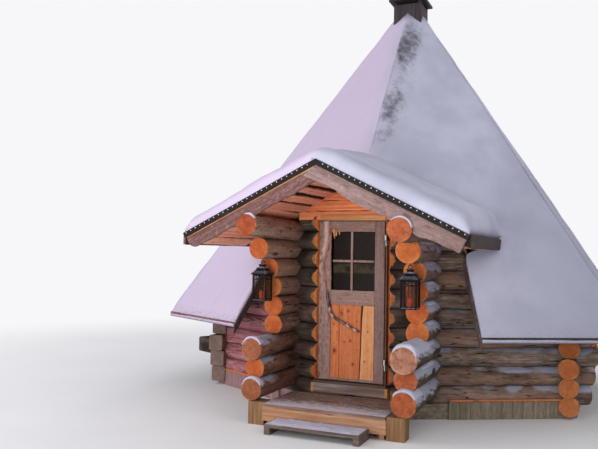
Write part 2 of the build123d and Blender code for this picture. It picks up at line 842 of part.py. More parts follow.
# Handle: a crooked branch held off the leaf by three pegs
with BuildPart() as handle:
    branch_y = -leaf_front - branch_standoff
    with BuildLine() as path:
        FilletPolyline(*[(x, branch_y, z) for x, z in branch_points], radius=branch_bend)
    with BuildSketch(Plane(origin=path.line @ 0, z_dir=path.line % 0)):
        Circle(branch_r)
    sweep()
    for x, z in peg_points:
        foot = -leaf_front + (panel_recess if panel_left < x < panel_right else 0)
        with Locations(Plane(origin=(x, foot, z), z_dir=(0, -1, 0))):
            Cylinder(peg_r, foot - branch_y, align=(Align.CENTER, Align.CENTER, Align.MIN))
save(handle.part, "branch_handle")

# Hinges: straps and pins on the wall, and knuckles on the leaf
pin_y = -door_plane - hinge_out
with BuildPart() as straps:
    for height in hinge_heights:
        low = (height - knuckle_length, height - seat_gap)
        wall_y = (-door_plane - strap_thickness, -door_plane)
        block((hinge_x - strap_thickness, hinge_x + strap_length), wall_y, low)
        block((hinge_x - pin_r, hinge_x + pin_r), (pin_y, -door_plane - strap_thickness), low)
        with Locations((hinge_x, pin_y, height - knuckle_length)):
            Cylinder(knuckle_r, knuckle_length - seat_gap, align=(Align.CENTER, Align.CENTER, Align.MIN))
            Cylinder(pin_r, 2 * knuckle_length, align=(Align.CENTER, Align.CENTER, Align.MIN))
save(straps.part, "hinge_straps")

with BuildPart() as knuckles:
    for height in hinge_heights:
        high = (height, height + knuckle_length)
        strap_front = -leaf_front - strap_thickness
        block((hinge_x - knuckle_r - strap_length, hinge_x + pin_r), (strap_front, -leaf_front), high)
        block((hinge_x - pin_r, hinge_x + pin_r), (-leaf_front, pin_y), high)
        with Locations((hinge_x, pin_y, height)):
            Cylinder(knuckle_r, knuckle_length, align=(Align.CENTER, Align.CENTER, Align.MIN))
            Cylinder(pin_r + scribe_gap, knuckle_length, align=(Align.CENTER, Align.CENTER, Align.MIN),
                     mode=Mode.SUBTRACT)
save(knuckles.part, "hinge_knuckles")
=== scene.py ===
# %% [markdown]
# # A six-sided log cabin in snow
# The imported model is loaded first, as a fixed frame. Its own pieces could simply be painted, but round logs, snow
# and torn boards need more form than that, so new meshes take the place of some of them. Every piece made below
# stands in that frame, in metres, and rides on one of its two bodies: the cabin, or the door.

# %% Load the frame
import bpy
import numpy as np
from mathutils import Matrix, Vector


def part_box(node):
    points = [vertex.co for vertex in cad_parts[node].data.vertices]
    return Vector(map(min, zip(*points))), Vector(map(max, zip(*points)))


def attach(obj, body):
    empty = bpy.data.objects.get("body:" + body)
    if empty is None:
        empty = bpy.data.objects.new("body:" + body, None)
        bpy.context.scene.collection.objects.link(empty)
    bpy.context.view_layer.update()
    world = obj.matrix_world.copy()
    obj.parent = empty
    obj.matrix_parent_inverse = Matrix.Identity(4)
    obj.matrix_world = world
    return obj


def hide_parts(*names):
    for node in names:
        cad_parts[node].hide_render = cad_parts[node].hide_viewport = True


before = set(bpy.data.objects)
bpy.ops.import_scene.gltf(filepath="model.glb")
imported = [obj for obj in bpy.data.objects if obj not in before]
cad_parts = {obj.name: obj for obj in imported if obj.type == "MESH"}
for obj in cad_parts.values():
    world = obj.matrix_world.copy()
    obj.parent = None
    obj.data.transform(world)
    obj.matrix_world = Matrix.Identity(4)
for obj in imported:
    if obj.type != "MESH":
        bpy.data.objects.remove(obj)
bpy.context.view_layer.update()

# %% [markdown]
# ## Sizes that several pieces share
# A real cabin of this kind is set out from a few numbers: how far the walls stand from the middle of the room,
# how high one course of logs is, and how steep the two roofs are. They could be measured on the frame's pieces
# each time, but named sizes are easier to follow. Lengths are metres, and x and y start in the room's middle.

# %% Sizes
hood_low, hood_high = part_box("smoke_hood")
middle_y = (hood_low[1] + hood_high[1]) / 2
course, log_r, scribe = 0.214, 0.115, 0.0003
wall_out = 2.25
sin30, cos30, tan30 = 0.5, np.sqrt(3) / 2, 1 / np.sqrt(3)
half_side = wall_out * tan30
first_full, first_half, wing_first = 0.146, 0.253, 0.36
door_y, frame_half = -2.44, 0.403
eave_out, eave_z, roof_thick, roof_tilt = 2.898, 0.973, 0.030, np.radians(57.4)
roof_slope = np.tan(roof_tilt)
apex = eave_z + eave_out * roof_slope
roof_drop = roof_thick / np.cos(roof_tilt)
porch_tilt = np.radians(26.2)
ridge, porch_slope, porch_half, porch_front = 2.754, np.tan(porch_tilt), 1.514, 3.55
porch_eave = ridge - porch_slope * porch_half
wing_x, wing_back, wing_back_r = 0.83, -1.9, 0.113
plate_z, plate_back_r = wing_first + 8 * course, 0.134
porch_drop = ridge - porch_slope * wing_x - plate_z - (plate_back_r + scribe) / np.cos(porch_tilt)
wing_reach = [3.271, 3.191, 3.282, 2.751, 2.766, 2.790, 2.883, 3.151]
butts = {1: [0.130, 0.121, 0.138, 0.122, 0.122, 0.120, 0.120, 0.130],
         -1: [0.120, 0.113, 0.121, 0.113, 0.113, 0.113, 0.114, 0.116]}
plate_end = {1: ((0.866, -3.614, 2.054), 0.122), -1: ((-0.746, -3.614, 2.100), 0.116)}
wall_angles = {"right_front": 30, "right": 90, "right_rear": 150, "left_rear": 210, "left": 270, "left_front": 330}
print("middle of the room at y =", round(middle_y, 4), "apex at", round(float(apex), 3))

# %% [markdown]
# ## Helpers for surfaces
# A mesh is a list of points and a list of faces. It could be drawn by hand in the viewport, but a formula gives
# the same piece each time and can be changed later. Here the points of a surface come from one formula that is
# worked out for a whole grid at once, and the faces join neighbours on the grid. Several surfaces are stacked
# into one mesh, with a few extra values kept at each point for the materials to read.


# %% Surfaces from grids
def grid_quads(rows, columns, closed=False):
    """Faces of a grid of points: each joins four neighbours; a closed grid joins its last column to its first."""
    index = np.arange(rows * columns).reshape(rows, columns)
    following = np.roll(index, -1, axis=1)
    last = columns if closed else columns - 1
    quads = np.stack([index[:-1], following[:-1], following[1:], index[1:]], axis=-1)[:, :last]
    return quads.reshape(-1, 4)


def surface(points, quads, finish=0, **values):
    """One surface: points (n, 3), quads (m, 4), its finish's number, and values of three numbers at each point."""
    points = np.asarray(points, float).reshape(-1, 3)
    return {"points": points, "quads": np.asarray(quads).reshape(-1, 4), "finish": finish,
            "values": {k: np.asarray(v, float).reshape(-1, 3) for k, v in values.items()}}


print("a grid of 3 by 4 points has", len(grid_quads(3, 4)), "faces;", len(grid_quads(3, 4, closed=True)), "if closed")


# %% Pieces from surfaces
def piece(name, surfaces, materials, body="cabin", replaces=(), smooth=True):
    """Stacks surfaces into one mesh object, gives it its materials, and makes it ride on a body."""
    offsets = np.cumsum([0] + [len(s["points"]) for s in surfaces])
    points = np.concatenate([s["points"] for s in surfaces])
    quads = np.concatenate([s["quads"] + offset for s, offset in zip(surfaces, offsets)])
    finish = np.concatenate([np.full(len(s["quads"]), s["finish"]) for s in surfaces])
    mesh = bpy.data.meshes.new(name)
    mesh.vertices.add(len(points))
    mesh.vertices.foreach_set("co", (points + (0, middle_y, 0)).ravel())
    mesh.loops.add(quads.size)
    mesh.loops.foreach_set("vertex_index", quads.ravel())
    mesh.polygons.add(len(quads))
    mesh.polygons.foreach_set("loop_start", np.arange(0, quads.size, 4))
    for material in materials:
        mesh.materials.append(material)
    mesh.polygons.foreach_set("material_index", finish)
    mesh.polygons.foreach_set("use_smooth", np.full(len(quads), smooth))
    for key in surfaces[0]["values"]:
        layer = mesh.attributes.new(key, "FLOAT_VECTOR", "POINT")
        layer.data.foreach_set("vector", np.concatenate([s["values"][key] for s in surfaces]).ravel())
    mesh.update(calc_edges=True)
    made = bpy.data.objects.new(name, mesh)
    bpy.context.scene.collection.objects.link(made)
    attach(made, body)
    if replaces:
        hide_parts(*replaces)
    print(name, "points", len(points), "faces", len(quads))
    return made


# %% Lumps and soft edges
def lumps(points, size, seed):
    """Smooth random field between about -1 and 1: a sum of sine waves in random directions, a size apart."""
    draw, waves = np.random.default_rng(seed), 14
    ways = draw.normal(size=(waves, 3))
    ways *= (2 * np.pi / size) / np.linalg.norm(ways, axis=1, keepdims=True) * draw.uniform(0.6, 1.5, (waves, 1))
    turns = draw.uniform(0, 2 * np.pi, waves)
    return np.sin(np.asarray(points) @ ways.T + turns).sum(axis=-1) / np.sqrt(waves) / 1.2


def smoothstep(low, high, value):
    """Rises smoothly from 0 at low to 1 at high."""
    t = np.clip((value - low) / (high - low), 0, 1)
    return t * t * (3 - 2 * t)


def quarter_round(distance, reach):
    """Height of a rounded edge: 0 at the edge, then a quarter circle up to 1 at the reach."""
    return np.sqrt(np.clip(1 - (1 - np.clip(distance / reach, 0, 1)) ** 2, 0, 1))


print("lumps at three points:", [round(float(lumps((x, 0, 0), 0.3, 1)), 2) for x in (0.0, 0.1, 0.2)])


# %% Blankets, and faces that look outwards
def blanket(top, under, finish=0, **values):
    """Closed blanket between two grids of points: the upper side, the lower side, and a wall round the rim."""
    rows, columns = top.shape[:2]
    quads = grid_quads(rows, columns)
    count = rows * columns
    index = np.arange(count).reshape(rows, columns)
    rim = np.concatenate([index[0, :], index[1:, -1], index[-1, -2::-1], index[-2:0:-1, 0]])
    wall = np.stack([rim, rim + count, np.roll(rim, -1) + count, np.roll(rim, -1)], -1)
    faces = np.concatenate([quads, quads[:, ::-1] + count, wall])
    points = np.concatenate([top.reshape(-1, 3), under.reshape(-1, 3)])
    doubled = {k: np.concatenate([np.asarray(v, float).reshape(-1, 3)] * 2) for k, v in values.items()}
    return surface(points, faces, finish, **doubled)


def facing(made, way):
    """Turns a closed surface inside out if its first third, its upper side, doesn't face the given way."""
    corners = made["points"][made["quads"][: len(made["quads"]) // 3]]
    normals = np.cross(corners[:, 1] - corners[:, 0], corners[:, 2] - corners[:, 0]).sum(axis=0)
    if normals @ np.asarray(way, float) < 0:
        made["quads"] = made["quads"][:, ::-1]
    return made


def outward(made, number, inside):
    """Turns a closed surface inside out if one of its faces looks towards a point inside it."""
    corners = made["points"][made["quads"][number]]
    if np.cross(corners[1] - corners[0], corners[2] - corners[0]) @ (corners.mean(axis=0) - inside) < 0:
        made["quads"] = made["quads"][:, ::-1]
    return made


flat = np.zeros((2, 2, 3))
print("a blanket over four points has", len(blanket(flat, flat)["quads"]), "faces")


# %% [markdown]
# ## Materials
# Old wood, snow and painted iron are never one colour. A picture could be wrapped round each piece, but it would
# smear on round logs and blur from near. So each finish is a small tree of shader nodes whose pattern comes from
# noise, stretched along the grain where there is one. A helper keeps the node code short.


# %% Material helpers
def shaded(colour, share):
    """A colour times a share."""
    return tuple(c * share for c in colour)


class Finish:
    """A material under construction: each call adds a node and returns its output."""

    def __init__(self, name, roughness=0.8, specular=0.3):
        self.material = bpy.data.materials.new(name)
        self.material.use_nodes = True
        self.tree = self.material.node_tree
        self.shader = self.tree.nodes["Principled BSDF"]
        self.shader.inputs["Roughness"].default_value = roughness
        self.shader.inputs["Specular IOR Level"].default_value = specular

    def node(self, kind, settings=None, **inputs):
        """Adds a node; inputs are named, or i0, i1 for the first and second socket."""
        made = self.tree.nodes.new(kind)
        for key, value in (settings or {}).items():
            setattr(made, key, value)
        for key, value in inputs.items():
            socket = made.inputs[int(key[1:])] if key[0] == "i" and key[1:].isdigit() else made.inputs[key]
            if isinstance(value, bpy.types.NodeSocket):
                self.tree.links.new(value, socket)
            else:
                socket.default_value = value
        return made

    def value(self, attribute):
        """The three numbers kept at each point under a name."""
        source = self.node("ShaderNodeAttribute", {"attribute_name": attribute}).outputs["Vector"]
        return self.node("ShaderNodeSeparateXYZ", Vector=source).outputs

    def place(self, scale=(1, 1, 1), attribute=None, shift=(0, 0, 0)):
        """Coordinates: the object's own, or a value stored at each point; scaled to stretch the pattern."""
        if attribute:
            source = self.node("ShaderNodeAttribute", {"attribute_name": attribute}).outputs["Vector"]
        else:
            source = self.node("ShaderNodeTexCoord").outputs["Object"]
        return self.node("ShaderNodeMapping", Vector=source, Scale=scale, Location=shift).outputs["Vector"]

    def noise(self, place, detail=4.0, roughness=0.55, distortion=0.0):
        """Cloudy noise between 0 and 1, mostly near 0.5."""
        made = self.node("ShaderNodeTexNoise", Vector=place, Scale=1.0, Detail=detail, Roughness=roughness,
                         Distortion=distortion)
        return made.outputs["Fac"]

    def ramp(self, value, *stops):
        """Colours along a value: stops are (position, (red, green, blue))."""
        made = self.node("ShaderNodeValToRGB", i0=value)
        band = made.color_ramp
        while len(band.elements) < len(stops):
            band.elements.new(0.5)
        for element, (position, colour) in zip(band.elements, stops):
            element.position = position
            element.color = (*colour, 1)
        return made.outputs["Color"]

    def level(self, value, low, high):
        """0 below low, 1 above high, smooth between."""
        made = self.node("ShaderNodeMapRange", {"interpolation_type": "SMOOTHSTEP"}, Value=value)
        made.inputs["From Min"].default_value = low
        made.inputs["From Max"].default_value = high
        return made.outputs["Result"]

    def maths(self, kind, a, b=0.0):
        """Arithmetic on one or two values."""
        return self.node("ShaderNodeMath", {"operation": kind}, i0=a, i1=b).outputs[0]

    def times(self, a, b):
        """a x b."""
        return self.maths("MULTIPLY", a, b)

    def plus(self, a, b):
        """a + b."""
        return self.maths("ADD", a, b)

    def rest(self, value):
        """What is left of one: 1 - value."""
        return self.maths("SUBTRACT", 1.0, value)

    def apart(self, a, b):
        """How far apart two values are: the size of a - b."""
        return self.maths("ABSOLUTE", self.maths("SUBTRACT", a, b))

    def axis(self, number):
        """The object's own x, y or z at each point, by its number 0, 1 or 2."""
        return self.node("ShaderNodeSeparateXYZ", Vector=self.place()).outputs[number]

    def upward(self):
        """How far a face looks up: the z of its normal."""
        normal = self.node("ShaderNodeNewGeometry").outputs["Normal"]
        return self.node("ShaderNodeSeparateXYZ", Vector=normal).outputs[2]

    def mix(self, share, a, b, blend="MIX"):
        """Mixes two colours by a share."""
        made = self.node("ShaderNodeMix", {"data_type": "RGBA", "blend_type": blend})
        for socket, value in ((made.inputs[0], share), (made.inputs[6], a), (made.inputs[7], b)):
            if isinstance(value, bpy.types.NodeSocket):
                self.tree.links.new(value, socket)
            elif socket.type == "RGBA":
                socket.default_value = (*value, 1)
            else:
                socket.default_value = value
        return made.outputs[2]

    def finish(self, colour, height=None, strength=0.4, distance=0.004):
        """Joins colour and bump to the shader, and gives back the material."""
        self.tree.links.new(colour, self.shader.inputs["Base Color"])
        if height is not None:
            bump = self.node("ShaderNodeBump", Height=height, Strength=strength, Distance=distance)
            self.tree.links.new(bump.outputs[0], self.shader.inputs["Normal"])
        return self.material


print("a tenth of white is", shaded((1.0, 1.0, 1.0), 0.1))


# %% [markdown]
# ### Weathered log sides
# Peeled logs grey in the weather: long grey-brown streaks, darker stains, and drying cracks along the grain. A
# ready wood texture could stand in, but its bands are too even for old logs. So the streaks are noise stretched
# fifteen times along the log, and the cracks are thin dark valleys of a second noise. Each log's tone is kept at
# its points: how much snow dusts it, how light or dark it is, and how red. The darkness is partly painted shade,
# between the wings under the porch roof and in the creases where the logs meet.


# %% Log sides
frost_colour = (0.34, 0.35, 0.43)


def log_side(name, dark, middle, pale, seed, mottled=0.45):
    """Wood along a log: streaks, blotches, stains and cracks, read from the grain value stored at each point."""
    f = Finish(name, roughness=0.88, specular=0.15)
    streaks = f.noise(f.place((1.4, 22, 22), "grain", (seed, 0, 0)), detail=6, roughness=0.7)
    blotches = f.noise(f.place((9, 26, 26), "grain", (seed, seed, 0)), detail=7, roughness=0.75)
    stains = f.noise(f.place((1.6, 4.5, 4.5), "grain", (0, seed, 0)), detail=5, roughness=0.65)
    fine = f.noise(f.place((9, 120, 120), "grain"), detail=3)
    cracks = f.noise(f.place((0.9, 13, 13), "grain", (0, 0, seed)), detail=2, distortion=0.3)
    valley = f.level(f.apart(cracks, 0.5), 0.0, 0.012)
    each = f.noise(f.place((0.11, 0.11, 0.11), "grain"), detail=0)
    tone = f.value("tone")
    blend = f.plus(f.times(streaks, 1 - mottled), f.times(blotches, mottled))
    colour = f.ramp(blend, (0.36, dark), (0.5, middle), (0.64, pale))
    warm = tuple(c * k for c, k in zip(middle, (1.35, 1.0, 0.85)))
    colour = f.mix(f.times(f.level(each, 0.45, 0.60), 0.45), colour, warm)
    colour = f.mix(f.times(f.level(stains, 0.50, 0.68), 0.8), colour, shaded(dark, 0.5))
    light = f.maths("MAXIMUM", tone[1], 0.0)
    # Below zero the tone darkens the wood: log by log, lower on the wings, and as painted shade between the wings and
    # in the creases where logs meet.
    dark_tone_and_painted_shade = f.times(f.maths("MINIMUM", tone[1], 0.0), -1.0)
    colour = f.mix(f.times(light, 0.7), colour, pale)
    colour = f.mix(f.times(dark_tone_and_painted_shade, 0.75), colour, shaded(dark, 0.35))
    red = f.ramp(blend, (0.36, (0.19, 0.066, 0.072)), (0.5, (0.46, 0.175, 0.20)), (0.64, (0.62, 0.33, 0.38)))
    colour = f.mix(tone[2], colour, red)
    colour = f.mix(f.times(fine, 0.35), colour, pale, "SOFT_LIGHT")
    colour = f.mix(f.rest(valley), colour, (0.014, 0.009, 0.007))
    grains = f.noise(f.place((14, 40, 40), "grain"), detail=6, roughness=0.75)
    lying = f.level(f.plus(f.times(tone[0], 0.75), f.times(grains, 0.9)), 0.62, 1.08)
    colour = f.mix(lying, colour, frost_colour)
    height = f.plus(f.times(streaks, 0.6), f.times(valley, 0.7))
    return f.finish(colour, f.plus(height, f.times(blotches, 0.5)), 0.7, 0.008)


wall_wood = log_side("weathered_wall_logs", (0.090, 0.061, 0.048), (0.205, 0.150, 0.120), (0.36, 0.29, 0.25), 3.0)
wing_wood = log_side("weathered_wing_logs", (0.050, 0.033, 0.026), (0.120, 0.080, 0.062), (0.27, 0.20, 0.17), 11.0)
wing_inner = log_side("sheltered_wing_logs", (0.100, 0.060, 0.042), (0.270, 0.165, 0.122), (0.50, 0.35, 0.28),
                      17.0, 0.7)
print("log sides:", wall_wood.name, wing_wood.name, wing_inner.name)


# %% [markdown]
# ### Sawn log ends
# A sawn end shows growth rings, the marks of the saw, a paler rim and cracks that run out from the pith. Rings
# could be modelled as grooves, but they are finer than a millimetre. So each point keeps its place in the disc
# and its share of the radius, and sine waves of that share, made wobbly by noise, draw the rings.


# %% Log ends
def log_end(name, heart, wood, rim, rings=0.16, mottle=0.55):
    """Sawn end of a log: rings by the share of its radius, saw marks, a paler rim, and cracks from the pith."""
    f = Finish(name, roughness=0.8, specular=0.15)
    apart, along = f.value("pith"), f.value("grain")
    wobble = f.noise(f.place((1, 11, 11), "grain"), detail=3)
    share = f.plus(apart[2], f.times(f.maths("SUBTRACT", wobble, 0.5), 0.26))
    ring = f.maths("SINE", f.times(share, 62.0))
    patches = f.noise(f.place((1, 9, 9), "grain"), detail=5, roughness=0.6)
    blotches = f.noise(f.place((1, 24, 24), "grain"), detail=6, roughness=0.7)
    saw = f.noise(f.place((1, 26, 150), "grain"), detail=3)
    each = f.noise(f.place((0.13, 0.13, 0.13), "grain"), detail=0)
    around = f.maths("ARCTAN2", apart[1], apart[0])
    ray = f.node("ShaderNodeCombineXYZ", X=around, Y=along[0], Z=f.times(share, 0.4)).outputs[0]
    rays = f.node("ShaderNodeTexNoise", Vector=ray, Scale=2.0, Detail=1.0).outputs["Fac"]
    crack = f.level(f.apart(rays, 0.5), 0.0, 0.007)
    worn = shaded(wood, 0.45)
    colour = f.ramp(share, (0.0, heart), (0.42, wood), (0.78, wood), (0.90, rim), (1.0, rim), (1.06, worn))
    colour = f.mix(f.level(patches, 0.38, 0.66), colour, heart)
    colour = f.mix(f.times(f.level(each, 0.44, 0.58), 0.35), colour, rim)
    colour = f.mix(f.times(f.level(blotches, 0.48, 0.62), mottle), colour, shaded(wood, 0.60))
    colour = f.mix(f.times(f.plus(ring, 1.0), rings), colour, shaded(wood, 0.60))
    colour = f.mix(f.times(saw, 0.35), colour, (0.95, 0.62, 0.36), "SOFT_LIGHT")
    colour = f.mix(f.times(f.rest(crack), 0.75), colour, (0.07, 0.025, 0.014))
    return f.finish(colour, f.plus(saw, f.plus(crack, blotches)), 0.45, 0.002)


wall_end = log_end("sawn_wall_log_ends", (0.36, 0.10, 0.035), (0.46, 0.14, 0.050), (0.46, 0.22, 0.09))
wing_end = log_end("sawn_wing_log_ends", (0.38, 0.078, 0.024), (0.48, 0.130, 0.040), (0.50, 0.20, 0.070), 0.16, 0.65)
plate_wood_end = log_end("sawn_plate_log_ends", (0.22, 0.038, 0.018), (0.355, 0.088, 0.036), (0.42, 0.150, 0.065),
                         0.22, 0.9)
aged_end = log_end("aged_butt_ends", (0.20, 0.070, 0.040), (0.36, 0.15, 0.095), (0.48, 0.31, 0.25), 0.30, 1.0)
left_aged_end = log_end("brown_butt_ends", (0.20, 0.060, 0.026), (0.33, 0.120, 0.058), (0.42, 0.215, 0.140),
                        0.30, 1.0)
door_side_end = log_end("half_moon_faces", (0.24, 0.100, 0.040), (0.36, 0.160, 0.060), (0.38, 0.19, 0.08), 0.2, 0.8)
grey_end = log_end("weathered_squared_ends", (0.15, 0.095, 0.085), (0.22, 0.16, 0.15), (0.24, 0.18, 0.17), 0.06)
dark_end = log_end("dark_squared_ends", (0.045, 0.022, 0.015), (0.08, 0.045, 0.03), (0.06, 0.035, 0.025), 0.05)
print("log ends:", wall_end.name, wing_end.name, plate_wood_end.name, aged_end.name, left_aged_end.name,
      door_side_end.name, grey_end.name, dark_end.name)


# %% [markdown]
# ## Where the roofs lie over the logs
# The top logs of the real walls are cut off under the roofs. A Boolean could cut them here, at the price of long
# thin faces. Instead the height of the roofs' underside is worked out for any place in the plan, and the points
# of a log that would stand higher are later let down onto it.


# %% Undersides of the roofs
def roof_out(x, y):
    """How far a plan point lies out from the room's middle, square to the nearest side of the hexagon."""
    angles = np.radians(list(wall_angles.values()))
    return np.max([x * np.sin(a) - y * np.cos(a) for a in angles], axis=0)


def valley_line(x):
    """Plan line where the porch roof's top meets the main roof's."""
    return -(apex - ridge + (porch_slope - roof_slope * sin30) * np.abs(x)) / (roof_slope * cos30)


def under_roof(x, y):
    """Height of the roofs' underside over plan points: the porch's between the verges, else the main roof's."""
    across = np.abs(x) * cos30 + y * sin30
    in_porch = (y < valley_line(x)) & (across < 0.0) & (np.abs(x) < porch_half)
    main = apex - roof_drop - roof_slope * roof_out(x, y)
    return np.where(in_porch, ridge - porch_drop - porch_slope * np.abs(x), main) - 0.002


print("underside over the right wall:", round(float(under_roof(wall_out, 0.0)), 3))


# %% [markdown]
# ## Round logs
# The real logs are peeled trunks, sawn off square. A cylinder with a Displace modifier could stand in, but its
# ends, its grain and its fit under the roof would need more work. So a log is a tube by a formula: its radius
# tapers and swells a little along its length and round its girth, and two sawn ends with a small worn edge close
# it. Some tails are squared: there the section turns from a circle into a square with rounded corners.


# %% Log shapes
def frame_of(way):
    """Two unit vectors square to a direction: one level, one upwards."""
    way = np.asarray(way, float) / np.linalg.norm(way)
    level = np.cross(way, (0, 0, 1.0))
    level /= np.linalg.norm(level)
    return level, np.cross(level, way)


def round_log(start, end, r_start, r_end, seed, trim=False, swell=0.035, turns=48, ends=(1, 1), squared=(0, 0),
              dust=None, light=0.0, red=0.0, fine=0):
    """Tube about a line: radius = taper x (1 + swell x lumps); ends are discs of rings with a worn edge.

    Light and red are numbers or functions of the points; at the fine end the rows come every centimetre."""
    start, end = np.asarray(start, float), np.asarray(end, float)
    length = np.linalg.norm(end - start)
    way = (end - start) / length
    level, up = frame_of(way)
    along = np.linspace(0, 1, max(6, int(length / 0.05)) + 1)
    if fine:
        close = np.arange(0, 0.60, 0.011) / length
        along = np.concatenate([close, along[along > close[-1] + 0.02 / length]])
        along = 1 - along[::-1] if fine > 0 else along
    angle = np.linspace(0, 2 * np.pi, turns, endpoint=False)
    ring = np.cos(angle)[:, None] * level + np.sin(angle)[:, None] * up
    girth = np.cos(angle) * 0.12, np.sin(angle) * 0.12
    field = np.stack(np.broadcast_arrays(along[:, None] * length * 0.35, *girth), -1)
    bumps = 1 + swell * lumps(field, 0.30, seed) + 0.35 * swell * lumps(field, 0.07, seed + 1)
    knot = np.random.default_rng(seed + 2)
    for _ in range(int(length / 0.7)):
        gap = (along[:, None] * length - knot.uniform(0, length)) / 0.05
        turn = np.angle(np.exp(1j * (angle - knot.uniform(0, 2 * np.pi)))) / 0.35
        bumps = bumps + 0.045 * np.exp(-gap ** 2 - turn ** 2)
    square = 0.90 * (np.abs(np.cos(angle)) ** 14 + np.abs(np.sin(angle)) ** 14) ** (-1 / 14)
    hewn = np.zeros(len(along))
    for reach, distance in ((squared[0], along * length), (squared[1], (1 - along) * length)):
        if reach:
            hewn = np.maximum(hewn, 1 - smoothstep(reach - 0.04, reach, distance))
    bumps = bumps * (1 - hewn[:, None]) + (square * (1 + 0.3 * (bumps - 1))) * hewn[:, None]
    radius = (r_start + (r_end - r_start) * along)[:, None] * bumps
    drift = knot.uniform(-50, 50, 3)
    parts = []

    def lay(centres, radii, finish, flip, shares=None):
        """Rings round centres; shares of the radius mark the rings of a sawn end."""
        points = centres[:, None] + radii[..., None] * ring
        disc = radii * np.cos(angle), radii * np.sin(angle)
        local = np.stack(np.broadcast_arrays((points - start) @ way, *disc), -1)
        bare = dust is None or shares is not None
        fallen = np.zeros(points.shape[:2]) if bare else dust(points, np.broadcast_to(ring, points.shape))
        share = np.ones(points.shape[:2]) if shares is None else np.broadcast_to(shares[:, None], points.shape[:2])
        if trim:
            points[..., 2] = np.minimum(points[..., 2], under_roof(points[..., 0], points[..., 1]))
        quads = grid_quads(len(centres), turns, closed=True)
        pith = np.stack([local[..., 1], local[..., 2], share], -1)
        light_here, red_here = (v(points) if callable(v) else v for v in (light, red))
        # Painted shade: the top and bottom of each log's side, in the creases where logs meet, are drawn darker.
        painted_crease_shade = 0.85 * smoothstep(0.80, 0.94, np.abs(ring[:, 2])) * (shares is None)
        tone = np.stack(np.broadcast_arrays(fallen, light_here - painted_crease_shade, red_here), -1)
        quads = quads[:, ::-1] if flip else quads
        parts.append(surface(points, quads, finish, grain=local + drift, pith=pith, tone=tone))

    lay(start + along[:, None] * length * way, radius, 0, True)
    shares = np.array([1.0, 0.985, 0.95, 0.8, 0.6, 0.4, 0.2, 0.004])
    depth = np.array([0.0, 0.6, 1.0, 1.0, 1.0, 1.0, 1.0, 1.0]) * 0.006
    lay(start - depth[:, None] * way, radius[0] * shares[:, None], ends[0], False, shares)
    lay(end + depth[:, None] * way, radius[-1] * shares[:, None], ends[1], True, shares)
    return parts


print("across a log along x:", *frame_of(np.array([1.0, 0.0, 0.0])))


# %% Places along the walls
def along_wall(angle, across, height, out=wall_out):
    """Point on a wall: so far out from the middle at an angle, so far across, at a height."""
    a = np.radians(angle)
    return np.array([out * np.sin(a) + across * np.cos(a), -out * np.cos(a) + across * np.sin(a), height])


def wall_way(angle):
    """Level unit vector along a wall."""
    return along_wall(angle, 1, 0) - along_wall(angle, 0, 0)


def tail_of(k):
    """Log ends run past the corner by turns: short, middle, long."""
    return 0.25 + 0.045 * (k % 3 - 1)


def clear_end(angle, side, height, reach):
    """Pulls a log's end back until the roof's underside leaves most of its face free."""
    across = np.linspace(0, reach, 200)
    points = along_wall(angle, 0, height) + side * across[:, None] * wall_way(angle)
    free = under_roof(points[:, 0], points[:, 1]) > height - 0.3 * log_r
    return across[free].max() if free.any() else 0.3


print("log tails past a corner:", [round(tail_of(k), 3) for k in range(3)])


# %% [markdown]
# ### The room's walls
# The side walls start on the sill, and the front and rear walls half a course higher, so that each log drops
# into a saddle over the one that crosses it. The saddles could be cut, but they are hidden between the logs, so
# the meshes simply cross there. At the left front corner the tails are squared, and their ends have greyed.

# %% Room walls
full_courses = [first_full + k * course for k in range(9)]
half_courses = [first_half + k * course for k in range(8)]
for name, angle, seed in (("right", 90, 100), ("left", 270, 300)):
    parts = []
    for k, height in enumerate(full_courses):
        low, high = (clear_end(angle, side, height, half_side + tail_of(k)) for side in (-1, 1))
        front_tail = (0, 0.30) if name == "left" else (0, 0)
        ends = (1, 2) if name == "left" else (1, 1)
        parts += round_log(along_wall(angle, -low, height), along_wall(angle, high, height), log_r, log_r,
                           seed + 10 * k, trim=True, squared=front_tail, ends=ends, light=0.25 * np.sin(k * 2.3))
    piece(f"{name}_wall_logs", parts, [wall_wood, wall_end, grey_end], replaces=[f"{name}_wall"])
for name, angle, rear, seed in (("right_rear", 150, 1, 500), ("left_rear", 210, -1, 700)):
    parts = []
    for k, height in enumerate(half_courses):
        passing = half_side + (tail_of(k + 2) if (k % 2 == 0) == (rear == 1) else -0.02)
        near = clear_end(angle, -rear, height, half_side + tail_of(k))
        low, high = (near, passing) if rear == 1 else (passing, near)
        parts += round_log(along_wall(angle, -low, height), along_wall(angle, high, height), log_r, log_r,
                           seed + 10 * k, trim=True, light=0.25 * np.sin(k * 1.7))
    piece(f"{name}_wall_logs", parts, [wall_wood, wall_end], replaces=[f"{name}_wall"])


# %% [markdown]
# ### Front walls, cut off flat beside the door
# The doorway cuts through the corner of the hexagon, so each front log ends in the plane of the door frame, and
# its fresh face looks like a half moon. A Boolean cut would lose the values kept at the points, so the rows of
# points come closer near the door, and those in front of the plane are let back onto it. Wind has dusted the
# right wall with snow beside the wing, and the left wall's lowest logs are stained dark red.


# %% Dust and stains on the front walls
def right_wall_dust(points, ring):
    """Dusted snow on the logs' upper faces, in ragged patches, more of it far out."""
    upper = smoothstep(0.10, 0.85, ring[..., 2])
    farther = 0.50 + 0.75 * smoothstep(1.3, 2.0, points[..., 0])
    rag = 0.5 + 0.5 * lumps(points * (1, 1, 1.6), 0.35, 41)
    breath = 0.35 * smoothstep(1.5, 2.3, points[..., 0]) * rag
    return (1.1 * upper * farther * (0.15 + rag) + breath) * (points[..., 0] > 0.9)


def left_front_red(points):
    """Dark red stain on the left wall between the wing and the corner; elsewhere the logs stay brown."""
    return 0.9 * smoothstep(-0.90, -1.02, points[..., 0]) * smoothstep(-2.44, -2.38, points[..., 0])


